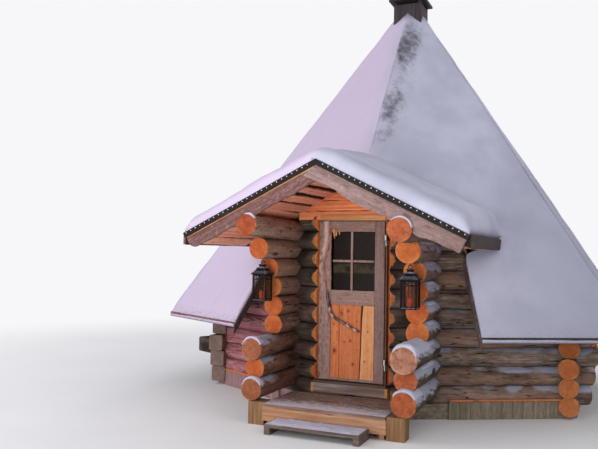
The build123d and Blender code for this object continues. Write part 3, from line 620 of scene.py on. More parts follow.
def porch_shade(points):
    """Painted shade between the wings, under the porch roof; the long tail at the left corner is drawn darker too."""
    between = smoothstep(-0.98, -0.85, points[..., 0]) * smoothstep(0.98, 0.85, points[..., 0])
    tail = smoothstep(-2.38, -2.44, points[..., 0])
    return -1.25 * np.maximum(between, tail) * (0.75 + 0.25 * lumps(points, 0.25, 43))


print("shade in the middle of the porch:", round(float(porch_shade(np.array([0.0, door_y, 1.0]))), 2))


# %% Front walls
def front_logs(side, seed):
    """Front wall logs; points in front of the door plane go back to it, and their faces take the sawn finish."""
    angle = 30 if side > 0 else 330
    axis = wall_way(angle)
    heights = half_courses + [half_courses[-1] + course, half_courses[-1] + 2 * course]
    tails = [tail_of(k) for k in range(8)] if side > 0 else [0.12, 0.60, 0.12, 0.12, 0.2, 0.2, 0.2, 0.2]
    at_frame = side * (frame_half + 0.0005)
    whole = []
    for k, height in enumerate(heights):
        outer = clear_end(angle, side, height, half_side + tails[k]) if k < 8 else 0.26
        base = along_wall(angle, 0, height)
        inner = ((side * frame_half if k else side * 0.001) - base[0]) / axis[0]
        low, high = sorted([side * outer, inner])
        squared, ends = ((0.5, 0), (3, 1)) if side < 0 and k < 4 else ((0, 0), (1, 1))
        whole += round_log(base + low * axis, base + high * axis, log_r, log_r, seed + 10 * k, trim=True,
                           squared=squared, ends=ends, dust=right_wall_dust if side > 0 else None,
                           light=porch_shade, red=left_front_red if side < 0 and k < 5 else 0.0, fine=-side)
    split = []
    for part in whole:
        points = part["points"]
        over = points[:, 1] < door_y
        points[over, 1] = door_y - 0.002 * (part["finish"] == 1)
        points[(side * points[:, 0] < side * at_frame) & (points[:, 2] > 0.31), 0] = at_frame
        cut = over[part["quads"]].all(axis=1)
        if part["finish"] == 0 and cut.any():
            half_moon = dict(part, quads=part["quads"][cut], finish=4, values=dict(part["values"]))
            spread = points - points[part["quads"][cut].ravel()].mean(axis=0)
            share = np.clip(np.hypot(spread[:, 0], spread[:, 2]) / log_r, 0, 1)
            half_moon["values"]["pith"] = np.stack([spread[:, 0], spread[:, 2], share], -1)
            split.append(half_moon)
            part["quads"] = part["quads"][~cut]
        split.append(part)
    return split


front_finishes = [wall_wood, wing_end, grey_end, dark_end, door_side_end]
piece("right_front_wall_logs", front_logs(1, 900), front_finishes, replaces=["right_front_wall"])
piece("left_front_wall_logs", front_logs(-1, 1100), front_finishes, replaces=["left_front_wall"])


# %% [markdown]
# ### Porch wings
# The wings' logs keep the trunk's natural taper, butt end forward, and their lengths differ, so that the lantern
# hangs in the recess. The top pair, the plate logs, carries the porch roof and runs out past the bargeboards.
# One log could be copied with an Array modifier, but each real one has its own length, girth and end, so each is
# worked out from a short table. Blown snow sticks to the right wing's outer side.


# %% Wings
def wing_dust(points, ring):
    """Dusted snow on the outer upper side of the right wing; its lower edge is ragged and speckled."""
    turned = 0.60 * ring[..., 0] + 0.80 * ring[..., 2]
    rag = 0.14 * lumps(points, 0.22, 55) + 0.12 * lumps(points, 0.05, 56)
    return smoothstep(0.35, 1.0, turned + rag) * smoothstep(-1.95, -2.2, points[..., 1])


def wing_top_dust(points, ring):
    """A little snow on the tops of the left wing's three lowest logs, fading towards the wall."""
    rag = 0.16 * lumps(points, 0.20, 57) + 0.14 * lumps(points, 0.05, 58)
    low = smoothstep(1.05, 0.90, points[..., 2])
    return smoothstep(0.05, 0.80, ring[..., 2] + rag) * smoothstep(-2.65, -3.1, points[..., 1]) * low


wing_lights = (-0.60, -0.50, -0.45, -0.1, 0.1, 0.3, 0.5, 0.6)
front_ends = {1: {0: 3, 1: 3, 2: 2}, -1: {0: 4, 2: 4}}
for side, name, seed in ((1, "right", 1300), (-1, "left", 1500)):
    parts = []
    for k, (reach, butt) in enumerate(zip(wing_reach, butts[side])):
        height = wing_first + k * course
        parts += round_log((side * wing_x, -reach, height), (side * wing_x, wing_back, height), butt, wing_back_r,
                           seed + 10 * k, swell=0.03, turns=64, ends=(front_ends[side].get(k, 1), 1),
                           dust=wing_dust if side > 0 else wing_top_dust, light=wing_lights[k], trim=True)
    front, front_r = plate_end[side]
    parts += round_log(front, (side * wing_x, wing_back, plate_z), front_r, plate_back_r, seed + 90, swell=0.025,
                       turns=64, light=0.45, trim=True, ends=(3, 1))
    side_wood = wing_wood if side > 0 else wing_inner
    piece(f"{name}_wing_logs", parts, [side_wood, wing_end, aged_end, plate_wood_end, left_aged_end],
          replaces=[f"{name}_wing"])


# %% [markdown]
# ## Snow
# Snow lies as one soft blanket. A cloth or fluid simulation could settle it, but slowly, and never twice the same.
# Here it is a height over the plan, equal to the roof under it plus a depth that thins to nothing at the edges in
# a quarter round, and its lower side lies just in the roof. Three values at each point say how bare it is, how
# much pink light of the low sky is painted on it, or below zero how much blue shade, and how much dirt lies in it.


# %% Snow finish
def snow_finish(name, shade, tint, painted_sky_light):
    """Snow, pale and faintly shaded; painted pink light above zero, painted blue shade below; felt where bare, specks
    in dirt.
    """
    f = Finish(name, roughness=0.8, specular=0.2)
    soft = f.noise(f.place((1.6, 1.6, 1.6)), detail=5)
    fine = f.noise(f.place((60, 60, 60)), detail=3)
    state = f.value("state")
    smudge = f.noise(f.place((8, 8, 6)), detail=8, roughness=0.74, distortion=0.4)
    shown = f.level(f.plus(f.times(state[0], 0.42), f.times(smudge, 0.90)), 0.60, 1.02)
    shown = f.times(shown, f.level(state[0], 0.02, 0.2))
    specks = f.noise(f.place((38, 38, 60)), detail=5, roughness=0.7)
    dirt = f.times(f.level(specks, 0.50, 0.62), state[2])
    colour = f.mix(f.level(soft, 0.35, 0.65), shade, tint)
    # Painted light: pink light of the low sky where the second value is above zero, blue shade where it is below.
    colour = f.mix(f.maths("MAXIMUM", state[1], 0.0), colour, painted_sky_light)
    painted_blue_shade = f.maths("MAXIMUM", f.times(state[1], -1.0), 0.0)
    colour = f.mix(painted_blue_shade, colour, shaded(shade, 0.62))
    colour = f.mix(shown, colour, (0.085, 0.085, 0.100))
    colour = f.mix(f.times(dirt, 0.8), colour, (0.16, 0.085, 0.09))
    return f.finish(colour, f.plus(soft, f.times(fine, 0.2)), 0.25, 0.01)


snow = snow_finish("lying_snow", (0.41, 0.415, 0.52), (0.49, 0.495, 0.605), (0.575, 0.485, 0.635))
print("snow finish:", snow.name)


# %% Snow on the main roof
snow_top, snow_eave = 0.16, eave_out + 0.030
hip_spots = ((4.68, 0.42, 0.9), (3.70, 0.30, 0.70), (3.2, 0.16, 0.40))


def roof_side_snow(angle, cut=None, rows=104, columns=72):
    """Snow on one roof side: depth over the slope, rounded at the eave, thin and patchy along the front hip."""
    a = np.radians(angle)
    out_way, side_way = np.array([np.sin(a), -np.cos(a)]), np.array([np.cos(a), np.sin(a)])
    out = snow_top + (snow_eave - snow_top) * (np.linspace(0, 1, rows) ** 0.7)[:, None] + np.zeros(columns)
    low, high = (-np.ones_like(out), np.ones_like(out)) if cut is None else cut(out)
    across = (low + (high - low) * np.linspace(0, 1, columns)) * out * tan30
    plan = out[..., None] * out_way + across[..., None] * side_way
    field = np.concatenate([plan, np.zeros(out.shape + (1,))], -1)
    base = apex - roof_slope * out
    eave = smoothstep(0.0, 0.09, snow_eave - out)
    depth = 0.062 + 0.016 * lumps(field, 1.1, int(angle)) + 0.007 * lumps(field, 0.22, int(angle) + 1)
    depth = np.maximum(depth * (0.28 + 0.72 * eave), 0.012)
    top = np.concatenate([plan, (base + depth)[..., None]], -1)
    under = np.concatenate([plan, (base - 0.01)[..., None]], -1)
    hip = np.exp(-((plan[..., 0] - 0.09) / 0.17) ** 2) * (plan[..., 1] < 0) * smoothstep(-0.10, 0.04, plan[..., 0])
    spots = 0.10 + sum(share * np.exp(-((base - z) / tall) ** 2) for z, tall, share in hip_spots)
    streaks = np.exp(-((plan[..., 0] - 0.45) / 0.35) ** 2) * np.exp(-((base - 4.2) / 0.7) ** 2) * 0.22 * (angle == 30)
    bare = np.clip(hip * spots * 1.25 + streaks, 0, 1)
    blend = 0.25 + 0.9 * smoothstep(-0.5, 1.5, plan[..., 1])
    # Painted light: pink sky light on the left of the roof, painted blue shade far to the right.
    painted_sky_light = smoothstep(0.8 * blend, -1.2 * blend, plan[..., 0]) - 0.6 * smoothstep(1.0, 2.4, plan[..., 0])
    dirt = smoothstep(0.085, 0.01, snow_eave - out) * (0.8 if angle in (330, 270) else 0.3)
    return blanket(top, under, state=np.stack([bare, painted_sky_light, dirt], -1))


def right_cut(out):
    """The right front side starts at the valley, and lower down at the verge, which is its middle line."""
    height = apex - roof_slope * out
    x_valley = np.interp(height, [porch_eave, ridge], [porch_half, 0.0])
    in_valley = (x_valley - out * 0.5) / cos30 / (out * tan30)
    beside = np.interp(out, [(apex - porch_eave) / roof_slope, 2.4], [0.42, 0.0])
    start = np.where(height > ridge, -1.0, np.where(height > porch_eave, in_valley, np.where(out < 2.4, beside, 0.0)))
    return start, np.ones_like(out)


def left_cut(out):
    """The left front side mirrors the right one."""
    return -np.ones_like(out), -right_cut(out)[0]


sides = [roof_side_snow(30, right_cut), roof_side_snow(330, left_cut)]
sides += [roof_side_snow(angle) for angle in (90, 150, 210, 270)]
piece("main_roof_snow", sides, [snow])


# %% Snow on the porch roof
def porch_snow(rows=100, columns=130):
    """Depth over the two porch slopes: deep at the valley, thinner at the gable, rounded at every free edge."""
    x = (porch_half - 0.01) * np.linspace(-1, 1, columns)[None, :] + np.zeros((rows, 1))
    y_front, y_back = -(porch_front + 0.040), valley_line(x) + 0.06
    y = y_front + (y_back - y_front) * np.linspace(0, 1, rows)[:, None]
    field = np.stack([x, y, 0 * x], -1)
    base = ridge - porch_slope * np.abs(x)
    soft = ridge + 0.02 - porch_slope * (np.sqrt(x ** 2 + 0.10 ** 2) - 0.10)
    from_front = y - y_front
    rim = quarter_round(from_front, 0.15) * quarter_round(porch_half - np.abs(x), 0.10)
    depth = (0.100 + 0.105 * smoothstep(0.0, 1.4, from_front)
             + 0.014 * lumps(field, 0.8, 5) + 0.006 * lumps(field, 0.2, 6))
    depth = depth * (1 - 0.20 * smoothstep(-0.1, -1.2, x))
    top = np.stack([x, y, np.maximum(base + 0.006, base + 0.006 + (soft - base + depth) * rim)], -1)
    under = np.stack([x, y, base - 0.008], -1)
    # Painted light: pink sky light on the porch roof's left slope.
    painted_sky_light = smoothstep(0.05, -0.12, x)
    dirt = smoothstep(0.07, 0.01, porch_half - np.abs(x)) * np.where(x < 0, 0.8, 0.3)
    return blanket(top, under, state=np.stack([0 * x, painted_sky_light, dirt], -1))


piece("porch_roof_snow", [porch_snow()], [snow], replaces=["porch_snow"])


# %% [markdown]
# ### Snow on logs and ledges
# Small caps of snow lie on the log ends and the step. The log's own material could turn white on top, but a cap
# has a thickness that shows against the dark wood. So it is a strip: the log's arc grown by a depth that falls to
# nothing at both edges. On the step it is a low cushion whose edges are ragged.


# %% Strips and cushions of snow
def log_snow(start, end, r_start, r_end, low, high, depth, seed, rag=0.25, painted_sky_light=0.0):
    """Strip on a log between two angles from the top: radius + depth x quarter rounds along and across."""
    start, end = np.asarray(start, float), np.asarray(end, float)
    length = np.linalg.norm(end - start)
    way = (end - start) / length
    level, up = frame_of(way)
    s, t = np.linspace(0, 1, max(12, int(length / 0.02))), np.linspace(0, 1, 24)
    line = np.stack([s * length, 0 * s, 0 * s], -1)
    ragged = rag * (lumps(line, 0.20, seed) + 0.5 * lumps(line, 0.06, seed + 4))[:, None]
    angle = np.radians(low) + (np.radians(high) - np.radians(low)) * (0.5 + (t - 0.5) * (1 + ragged))
    ring = np.sin(angle)[..., None] * level + np.cos(angle)[..., None] * up
    radius = (r_start + (r_end - r_start) * s)[:, None]
    rim = np.sqrt(np.clip(1 - (2 * t - 1) ** 2, 0, 1)) * quarter_round(np.minimum(s, 1 - s) * length, 0.035)[:, None]
    field = np.stack(np.broadcast_arrays(s[:, None] * length, t * 0.3, 0.0), -1)
    thick = depth * rim * (1 + 0.3 * lumps(field, 0.12, seed + 1)) + 0.001
    centre = start + s[:, None] * length * way
    state = np.broadcast_to((0.0, painted_sky_light, 0.12), radius.shape[:1] + (24, 3))
    return blanket(centre[:, None] + ring * (radius + thick)[..., None],
                   centre[:, None] + ring * (radius - 0.008)[..., None], state=state)


def ledge_snow(low, high, height, depth, seed, rag=0.3, painted_sky_light=0.0):
    """Cushion on a flat ledge: depth x quarter rounds from its four sides, which wander, over a rectangle."""
    (x0, y0), (x1, y1) = low, high
    rows, columns = max(10, int((y1 - y0) / 0.015)), max(10, int((x1 - x0) / 0.02))
    u, v = np.linspace(0, 1, columns)[None, :], np.linspace(0, 1, rows)[:, None]
    x, y = x0 + (x1 - x0) * u + 0 * v, y0 + (y1 - y0) * v + 0 * u
    field = np.stack([x, y, 0 * x], -1)
    edge = np.minimum(np.minimum(x - x0, x1 - x), np.minimum(y - y0, y1 - y))
    worn = edge - 0.02 * rag * (1 + lumps(field, 0.10, seed))
    high_z = height + 0.0005 + depth * quarter_round(worn, 0.03) * (1 + 0.3 * lumps(field, 0.15, seed + 1))
    state = np.broadcast_to((0.0, painted_sky_light, 0.15), x.shape + (3,))
    return blanket(np.stack([x, y, high_z], -1), np.stack([x, y, np.full(x.shape, height - 0.003)], -1), state=state)


print("a small cushion has", len(ledge_snow((0, 0), (0.2, 0.1), 0, 0.01, 1)["quads"]), "faces")


# %% Snow on logs and ledges
# Painted light: the caps on the left wing and the step's cushion take some pink sky light.
strips = []
for side in (1, -1):
    for k, back, low, high, depth in ((0, -2.95, -58, 66, 0.018), (2, -2.66, -55, 68, 0.026)):
        butt, height = butts[side][k], wing_first + k * course
        if side < 0:
            low, high, back, depth = -72, 66, -wing_reach[k] + 0.10, 0.013
        strips.append(log_snow((side * wing_x, -wing_reach[k] - 0.008, height), (side * wing_x, back, height), butt,
                               butt - 0.006, low, high, depth, 60 + k + 20 * (side > 0), 0.06, painted_sky_light=0.4 * (side < 0)))
    (x, y, z), r = plate_end[side]
    low, high = (-82, 84) if side > 0 else (-10, 55)
    strips.append(log_snow((x, y - 0.007, z), (x + side * 0.001, y + 0.042, z + 0.001), r, r, low, high, 0.012,
                           140 + side, 0.1, painted_sky_light=0.5 * (side < 0)))
for k in range(1, 8):
    butt, height = butts[1][k], wing_first + k * course
    front = wing_reach[k] - (0.32 if k == 1 else 0.12)
    strips.append(log_snow((wing_x, -front, height), (wing_x, -2.32, height), butt, 0.116, 26, 52, 0.008, 190 + k,
                           0.22))
strips.append(ledge_snow((-0.49, -3.612), (0.49, -3.325), 0.105, 0.010, 171, 1.6, painted_sky_light=0.2))
piece("log_and_ledge_snow", strips, [snow])


# %% [markdown]
# ## Boards
# Boards sawn through and through keep the trunk's wavy edge. A cube with a Bevel modifier would be straight and
# dead, so each board is a rounded section carried along a line, with its two long edges moved by waves. Every
# point keeps its place in the grain, and marks for cracks, bark and knots.


# %% Board shapes
def board(start, end, width_way, width, thickness, seed, wave=(0.0, 0.0), worn=0.004, finish=0, nose=0.0, light=0.0):
    """Board from start to end: a rounded rectangle section carried along, its two edges moved by waves."""
    start, end = np.asarray(start, float), np.asarray(end, float)
    length = np.linalg.norm(end - start)
    way = (end - start) / length
    across = np.asarray(width_way, float) / np.linalg.norm(width_way)
    out = np.cross(way, across)
    w, t, r = width / 2, thickness / 2, min(worn, thickness / 3, width / 3)
    section = np.array([(-w, -t + r), (-w + 0.3 * r, -t + 0.3 * r), (-w + r, -t), (0, -t), (w - r, -t),
                        (w - 0.3 * r, -t + 0.3 * r), (w, -t + r), (w, t - r), (w - 0.3 * r, t - 0.3 * r), (w - r, t),
                        (0, t), (-w + r, t), (-w + 0.3 * r, t - 0.3 * r), (-w, t - r)])
    steps = max(3, int(length / 0.02))
    s = np.concatenate([[0, r * 0.3 / length, r / length], np.linspace(0, 1, steps + 1)[1:-1], [1 - r / length,
                        1 - r * 0.3 / length, 1]])
    inset = np.zeros(len(s))
    inset[[0, -1]], inset[[1, -2]] = r, 0.3 * r
    line = np.stack([s * length, 0 * s, 0 * s], -1)
    edge_low = wave[0] * (0.7 * lumps(line, 0.5, seed) + 0.4 * lumps(line, 0.13, seed + 1))
    edge_high = wave[1] * (0.7 * lumps(line, 0.55, seed + 2) + 0.4 * lumps(line, 0.15, seed + 3))
    if nose:
        edge_low = edge_low + nose * (1 - quarter_round((1 - s) * length, nose))
    a, b = section[:, 0], section[:, 1]
    edges = np.where(a < -1e-9, edge_low[:, None], np.where(a > 1e-9, edge_high[:, None], 0))
    a_grid = a[None] * (1 - inset[:, None] / w) + edges
    b_grid = b[None] * (1 - inset[:, None] / t)
    centre = start + s[:, None] * length * way
    points = centre[:, None] + a_grid[..., None] * across + b_grid[..., None] * out
    drift = np.random.default_rng(seed + 9).uniform(-40, 40, 3)
    grain = np.stack([np.broadcast_to(s[:, None] * length, a_grid.shape), a_grid, b_grid], -1) + drift
    mark = np.broadcast_to((0.0, light, 0.0), grain.shape)
    n = len(section)
    quads = grid_quads(len(s), n, closed=True)[:, ::-1]
    caps = []
    for row, flip in ((0, False), (len(s) - 1, True)):
        ring_index = row * n + np.arange(n)
        low, high = ring_index[:n // 2], ring_index[n // 2:][::-1]
        cap = np.stack([low[:-1], high[:-1], high[1:], low[1:]], -1)
        caps.append(cap[:, ::-1] if flip else cap)
    return surface(points, np.concatenate([quads] + caps), finish, grain=grain, mark=mark)


sample = board((0, 0, 0), (1, 0, 0), (0, 1, 0), 0.1, 0.02, 1)
print("a board one metre long has", len(sample["quads"]), "faces")


# %% Carved boards
def carved(long_axis, low, high, near, far, face, depth, seed, rise=None, marks=None, finish=0):
    """Door board as a front view: grid between two wavy edges, its face raised by a given height, closed behind.

    The face at (x, z) stands at face - rise(x, z) + worn x (1 - quarter round of the nearest edge)."""
    worn = fine = 0.006
    length, width = high - low, np.max(far(np.array([low, high]))) - np.min(near(np.array([low, high])))
    s = np.linspace(0, 1, max(12, int(length / fine)))
    t = np.linspace(0, 1, max(10, int(width / fine)))
    t = 0.5 - 0.5 * np.cos(np.pi * t) * (0.35 + 0.65 * np.abs(np.cos(np.pi * t)))
    run = low + length * s
    a, b = near(run)[:, None], far(run)[:, None]
    across = a + (b - a) * t[None, :]
    runs = np.broadcast_to(run[:, None], across.shape)
    x, z = (across, runs) if long_axis == "z" else (runs, across)
    edge = np.minimum(np.minimum(across - a, b - across), np.minimum(runs - low, high - runs))
    field = np.stack([x, z, 0 * x], -1)
    streak = np.stack([across, runs * 0.12, 0 * x], -1)
    raised = 0.0012 * lumps(streak, 0.03, seed) + 0.002 * lumps(field, 0.4, seed + 1)
    if rise is not None:
        raised = raised + rise(x, z)
    front = face - raised + worn * (1 - quarter_round(edge, worn))
    top = np.stack([x, front, z], -1)
    under = np.stack([x, np.full(x.shape, face + depth), z], -1)
    drift = np.random.default_rng(seed + 9).uniform(-40, 40, 3)
    grain = np.stack([runs, across, 0 * x], -1) + drift
    mark = np.zeros(grain.shape) if marks is None else np.stack(marks(x, z), -1)
    return facing(blanket(top, under, finish, grain=grain, mark=mark), (0, -1, 0))


def straight(value, wave=0.0, seed=0):
    """An edge at a value, with waves along it."""
    def edge(run):
        """Place of the edge along a board."""
        line = np.stack([run, 0 * run, 0 * run], -1)
        return value + wave * (0.7 * lumps(line, 0.5, seed) + 0.4 * lumps(line, 0.12, seed + 1))
    return edge


print("a wavy edge:", [round(float(place), 4) for place in straight(0.1, 0.003, 31)(np.array([0.0, 0.5, 1.0]))])


# %% [markdown]
# ### Wood of boards
# Each board on the real cabin has its own colour: grey stiles, red-brown and tan panels, orange ceiling planks.
# One wood with a random tint could serve them all, but then they could not be told apart on purpose. So one
# function builds the nodes, and each kind of board gives it three colours and its share of knots and weather.


# %% Board finishes
def board_wood(name, dark, middle, pale, knots=0.6, seed=0.0, grey=0.0, rough=0.3, flecks=None):
    """Board: wandering grain, knots with dark hearts, weather; a mark's three values add cracks, bark and knots."""
    f = Finish(name, roughness=0.75, specular=0.25)
    place = f.place((1.0, 9, 9), "grain", (seed, 0, 0))
    bend = f.noise(f.place((1.3, 5, 5), "grain", (0, seed, 0)), detail=2)
    streaks = f.noise(f.place((1.5, 40, 40), "grain"), detail=6, roughness=0.65, distortion=0.6)
    mottle = f.noise(f.place((14, 30, 30), "grain", (seed, 0, 0)), detail=7, roughness=0.78)
    lines = f.plus(f.times(streaks, 1 - rough), f.times(mottle, rough))
    fine = f.noise(f.place((6, 190, 190), "grain"), detail=3)
    wide = f.place((3.0, 8.0, 2.0), "grain", (0, 0, seed))
    cells = f.node("ShaderNodeTexVoronoi", {"feature": "F1"}, Vector=wide, Scale=1.0)
    knot = f.times(f.rest(f.level(cells.outputs["Distance"], 0.04, 0.20)), knots)
    mark = f.value("mark")
    colour = f.ramp(lines, (0.36, dark), (0.5, middle), (0.64, pale))
    colour = f.mix(f.times(f.level(bend, 0.42, 0.72), 0.45), colour, dark)
    if flecks:
        spots = f.noise(f.place((22, 40, 40), "grain", (0, seed, seed)), detail=6, roughness=0.8)
        colour = f.mix(f.times(f.level(spots, 0.56, 0.64), 0.8), colour, flecks[0])
        colour = f.mix(f.times(f.level(spots, 0.44, 0.37), 0.7), colour, flecks[1])
    colour = f.mix(f.times(fine, 0.25), colour, pale, "SOFT_LIGHT")
    colour = f.mix(knot, colour, shaded(dark, 0.22))
    if grey:
        wear = f.level(f.noise(place, detail=5, roughness=0.7), 0.35, 0.65)
        colour = f.mix(f.times(wear, grey), colour, (0.30, 0.22, 0.22))
    colour = f.mix(f.maths("MAXIMUM", mark[1], 0.0), colour, tuple(min(1.0, c * 1.45 + 0.05) for c in pale))
    colour = f.mix(f.maths("MAXIMUM", f.times(mark[1], -1.0), 0.0), colour, shaded(dark, 0.55))
    heart = f.ramp(mark[2], (0.0, dark), (0.55, (0.26, 0.058, 0.026)), (1.0, (0.120, 0.030, 0.020)))
    colour = f.mix(f.times(f.level(mark[2], 0.01, 0.22), 0.45), colour, (0.36, 0.080, 0.032))
    colour = f.mix(f.level(mark[2], 0.25, 0.75), colour, heart)
    colour = f.mix(mark[0], colour, (0.016, 0.008, 0.008))
    return f.finish(colour, f.plus(lines, knot), 0.55, 0.003 + 0.006 * bool(flecks))


# %% Colours of the boards
bark_flecks = ((0.40, 0.33, 0.35), (0.085, 0.030, 0.024))
barge_left = board_wood("left_bargeboard_wood", (0.080, 0.032, 0.026), (0.145, 0.062, 0.052), (0.25, 0.135, 0.125),
                        0.3, 3.0, 0.15, 0.7, ((0.38, 0.24, 0.245), (0.045, 0.016, 0.013)))
barge_right = board_wood("right_bargeboard_wood", (0.140, 0.078, 0.068), (0.235, 0.155, 0.142), (0.33, 0.245, 0.235),
                         0.5, 4.0, 0.2, 0.5, ((0.34, 0.255, 0.25), (0.13, 0.050, 0.032)))
stile_left = board_wood("left_stile_wood", (0.15, 0.070, 0.050), (0.27, 0.16, 0.13), (0.37, 0.25, 0.21),
                        0.15, 6.0, 0.2, 0.55, bark_flecks)
stile_right = board_wood("right_stile_wood", (0.13, 0.070, 0.055), (0.215, 0.130, 0.108), (0.29, 0.19, 0.17),
                         0.2, 8.0, 0.2, 0.5, ((0.32, 0.24, 0.23), (0.085, 0.040, 0.030)))
rail_wood = board_wood("door_rail_wood", (0.18, 0.100, 0.075), (0.29, 0.18, 0.145), (0.37, 0.25, 0.21),
                       0.3, 10.0, 0.2, 0.5, ((0.40, 0.30, 0.27), (0.12, 0.055, 0.035)))
panel_red = board_wood("red_brown_panel_boards", (0.41, 0.110, 0.036), (0.53, 0.165, 0.058), (0.63, 0.25, 0.100),
                       0.12, 12.0, 0, 0.5)
panel_pale = board_wood("tan_panel_board", (0.48, 0.19, 0.075), (0.61, 0.28, 0.125), (0.71, 0.38, 0.19),
                        0.12, 14.0, 0, 0.5)
pine_board = board_wood("orange_pine_boards", (0.42, 0.105, 0.038), (0.62, 0.19, 0.075), (0.76, 0.30, 0.13), 0.8, 5.0)
yellow_board = board_wood("yellow_pine_boards", (0.36, 0.15, 0.060), (0.485, 0.22, 0.095), (0.60, 0.33, 0.16),
                          0.6, 7.0)
ceiling_board = board_wood("porch_ceiling_boards", (0.56, 0.200, 0.125), (0.84, 0.340, 0.220), (0.95, 0.50, 0.34),
                           0.4, 9.0, 0, 0.4, ((0.85, 0.48, 0.34), (0.25, 0.070, 0.045)))
# Painted shade: a near-black wood for the dark behind the panel gap.
gap_painted_shade = board_wood("painted_shade_behind_gap", (0.020, 0.010, 0.008), (0.030, 0.015, 0.012), (0.045, 0.024, 0.018),
                      0.0, 16.0)
skirt_left = board_wood("left_skirting_boards", (0.22, 0.12, 0.125), (0.33, 0.19, 0.19), (0.43, 0.29, 0.295),
                        0.2, 20.0, 0.1, 0.5)
skirt_right = board_wood("right_skirting_boards", (0.12, 0.098, 0.070), (0.20, 0.165, 0.120), (0.31, 0.265, 0.21),
                         0.2, 22.0, 0.0, 0.5)
print("board finishes:", barge_left.name, barge_right.name, stile_left.name, stile_right.name, rail_wood.name,
      panel_red.name, panel_pale.name, pine_board.name, yellow_board.name, ceiling_board.name)

# %% [markdown]
# ### Ceiling, gable wall and bargeboards
# The porch ceiling is planks laid along the ridge, nailed up green, so that wedge gaps have opened between them.
# The gable wall over the door is knotty boards whose ends are cut to the slope. The bargeboards keep a live
# edge below, and the plate logs run out through them. One sheet with painted joints could be each of these, but
# the light falls into real gaps, so every plank is a board of its own.

# %% Porch ceiling and gable wall
slope_length = porch_half / np.cos(porch_tilt)
plank_last, plank_stop = 1.58, 1.66


def on_slope(side):
    """Down-slope direction and outward normal of one porch slope."""
    return (np.array([side * np.cos(porch_tilt), 0, -np.sin(porch_tilt)]),
            np.array([side * np.sin(porch_tilt), 0, np.cos(porch_tilt)]))


planks = []
draw = np.random.default_rng(4)
for side in (-1, 1):
    slope_way, normal = on_slope(side)
    run, count = 0.02, 0
    while run < plank_last:
        count += 1
        far = min(run + draw.uniform(0.13, 0.2), plank_stop)
        under_ridge = np.array([0, 0, ridge - porch_drop])
        top = under_ridge + slope_way * (run + far) / 2 - normal * (0.011 + draw.uniform(0, 0.004))
        skew = slope_way * draw.uniform(-0.016, 0.016)
        gap = 0.062 if side < 0 and count < 4 else 0.022
        planks.append(board(top + skew + (0, -porch_front + 0.004, 0), top - skew + (0, -2.30, 0), slope_way,
                            far - run - gap, 0.020, int(1000 * run) + 7, wave=(0.008, 0.008),
                            light=draw.uniform(-0.3, 0.1)))
        run = far
piece("porch_ceiling", planks, [ceiling_board])

planks = []
level_z, gable_y = 2.2, door_y + 0.012
for k, width in enumerate((0.105, 0.12, 0.11, 0.13)):
    half, centre_z = min(0.672, (ridge - porch_drop - level_z) / porch_slope), level_z + width / 2
    plank = board((-half, gable_y, centre_z), (half, gable_y, centre_z), (0, 0, 1), width - 0.005, 0.024, 40 + k,
                  wave=(0.003, 0.008), light=0.15 * (k == 0))
    limit = ridge - porch_drop - 0.002 - porch_slope * np.abs(plank["points"][:, 0])
    plank["points"][:, 2] = np.minimum(plank["points"][:, 2], limit)
    planks.append(plank)
    level_z += width
piece("door_gable_boards", planks, [pine_board], replaces=["door_gable"])

# %% Bargeboards
parts = []
for side in (1, -1):
    slope_way, normal = on_slope(side)
    y = -porch_front - 0.018 - (0.002 if side > 0 else 0)
    middle = np.array([0, y, ridge]) - normal * 0.104
    start, end = middle - slope_way * 0.046, middle + slope_way * (slope_length - 0.008)
    parts.append(board(start, end, normal, 0.200, 0.034, 71 + side, wave=(0.016, 0.003), worn=0.007,
                       finish=int(side > 0), nose=0.02 if side > 0 else 0.09))
slope_way, normal = on_slope(-1)
batten = np.array([0, -porch_front - 0.041, ridge]) - normal * 0.063
parts.append(board(batten + slope_way * 0.05, batten + slope_way * (slope_length - 0.02), normal, 0.011, 0.010, 77,
                   finish=2))
piece("live_edge_bargeboards", parts, [barge_left, barge_right, yellow_board],
      replaces=["bargeboards"])

# %% [markdown]
# ### Skirting boards
# Short upright boards stand before the sill on both front sides. A narrow orange strip closes them on top, and
# leaves the lowest log free above it. The sill's own material could carry their joints as lines, but a row of
# real boards gives each joint its shadow.

# %% Skirting boards
skirt_out, strip_out, skirt_high, strip_z = 2.352, 2.362, 0.205, 0.214
parts = []
for side, angle in ((1, 30), (-1, 330)):
    for k, across in enumerate(np.arange(-0.10, 1.27, 0.122) * side):
        low, high = (along_wall(angle, across, z, skirt_out) for z in (0.001, skirt_high))
        parts.append(board(low, high, wall_way(angle), 0.119, 0.022, 600 + k + 30 * side, wave=(0.001, 0.001),
                           worn=0.003, finish=int(side > 0)))
    near, far = (along_wall(angle, across * side, strip_z, strip_out) for across in (-0.16, 1.29))
    parts.append(board(near, far, (0, 0, 1), 0.018, 0.052, 640 + side, worn=0.003, finish=2))
piece("skirting_boards", parts, [skirt_left, skirt_right, pine_board])


# %% [markdown]
# ### Felt nails
# Broad-headed nails hold the felt's edge along the gable. White dots in the felt's material would do from afar,
# but real heads catch the light. They are small and many, so each is a low dome of few faces.


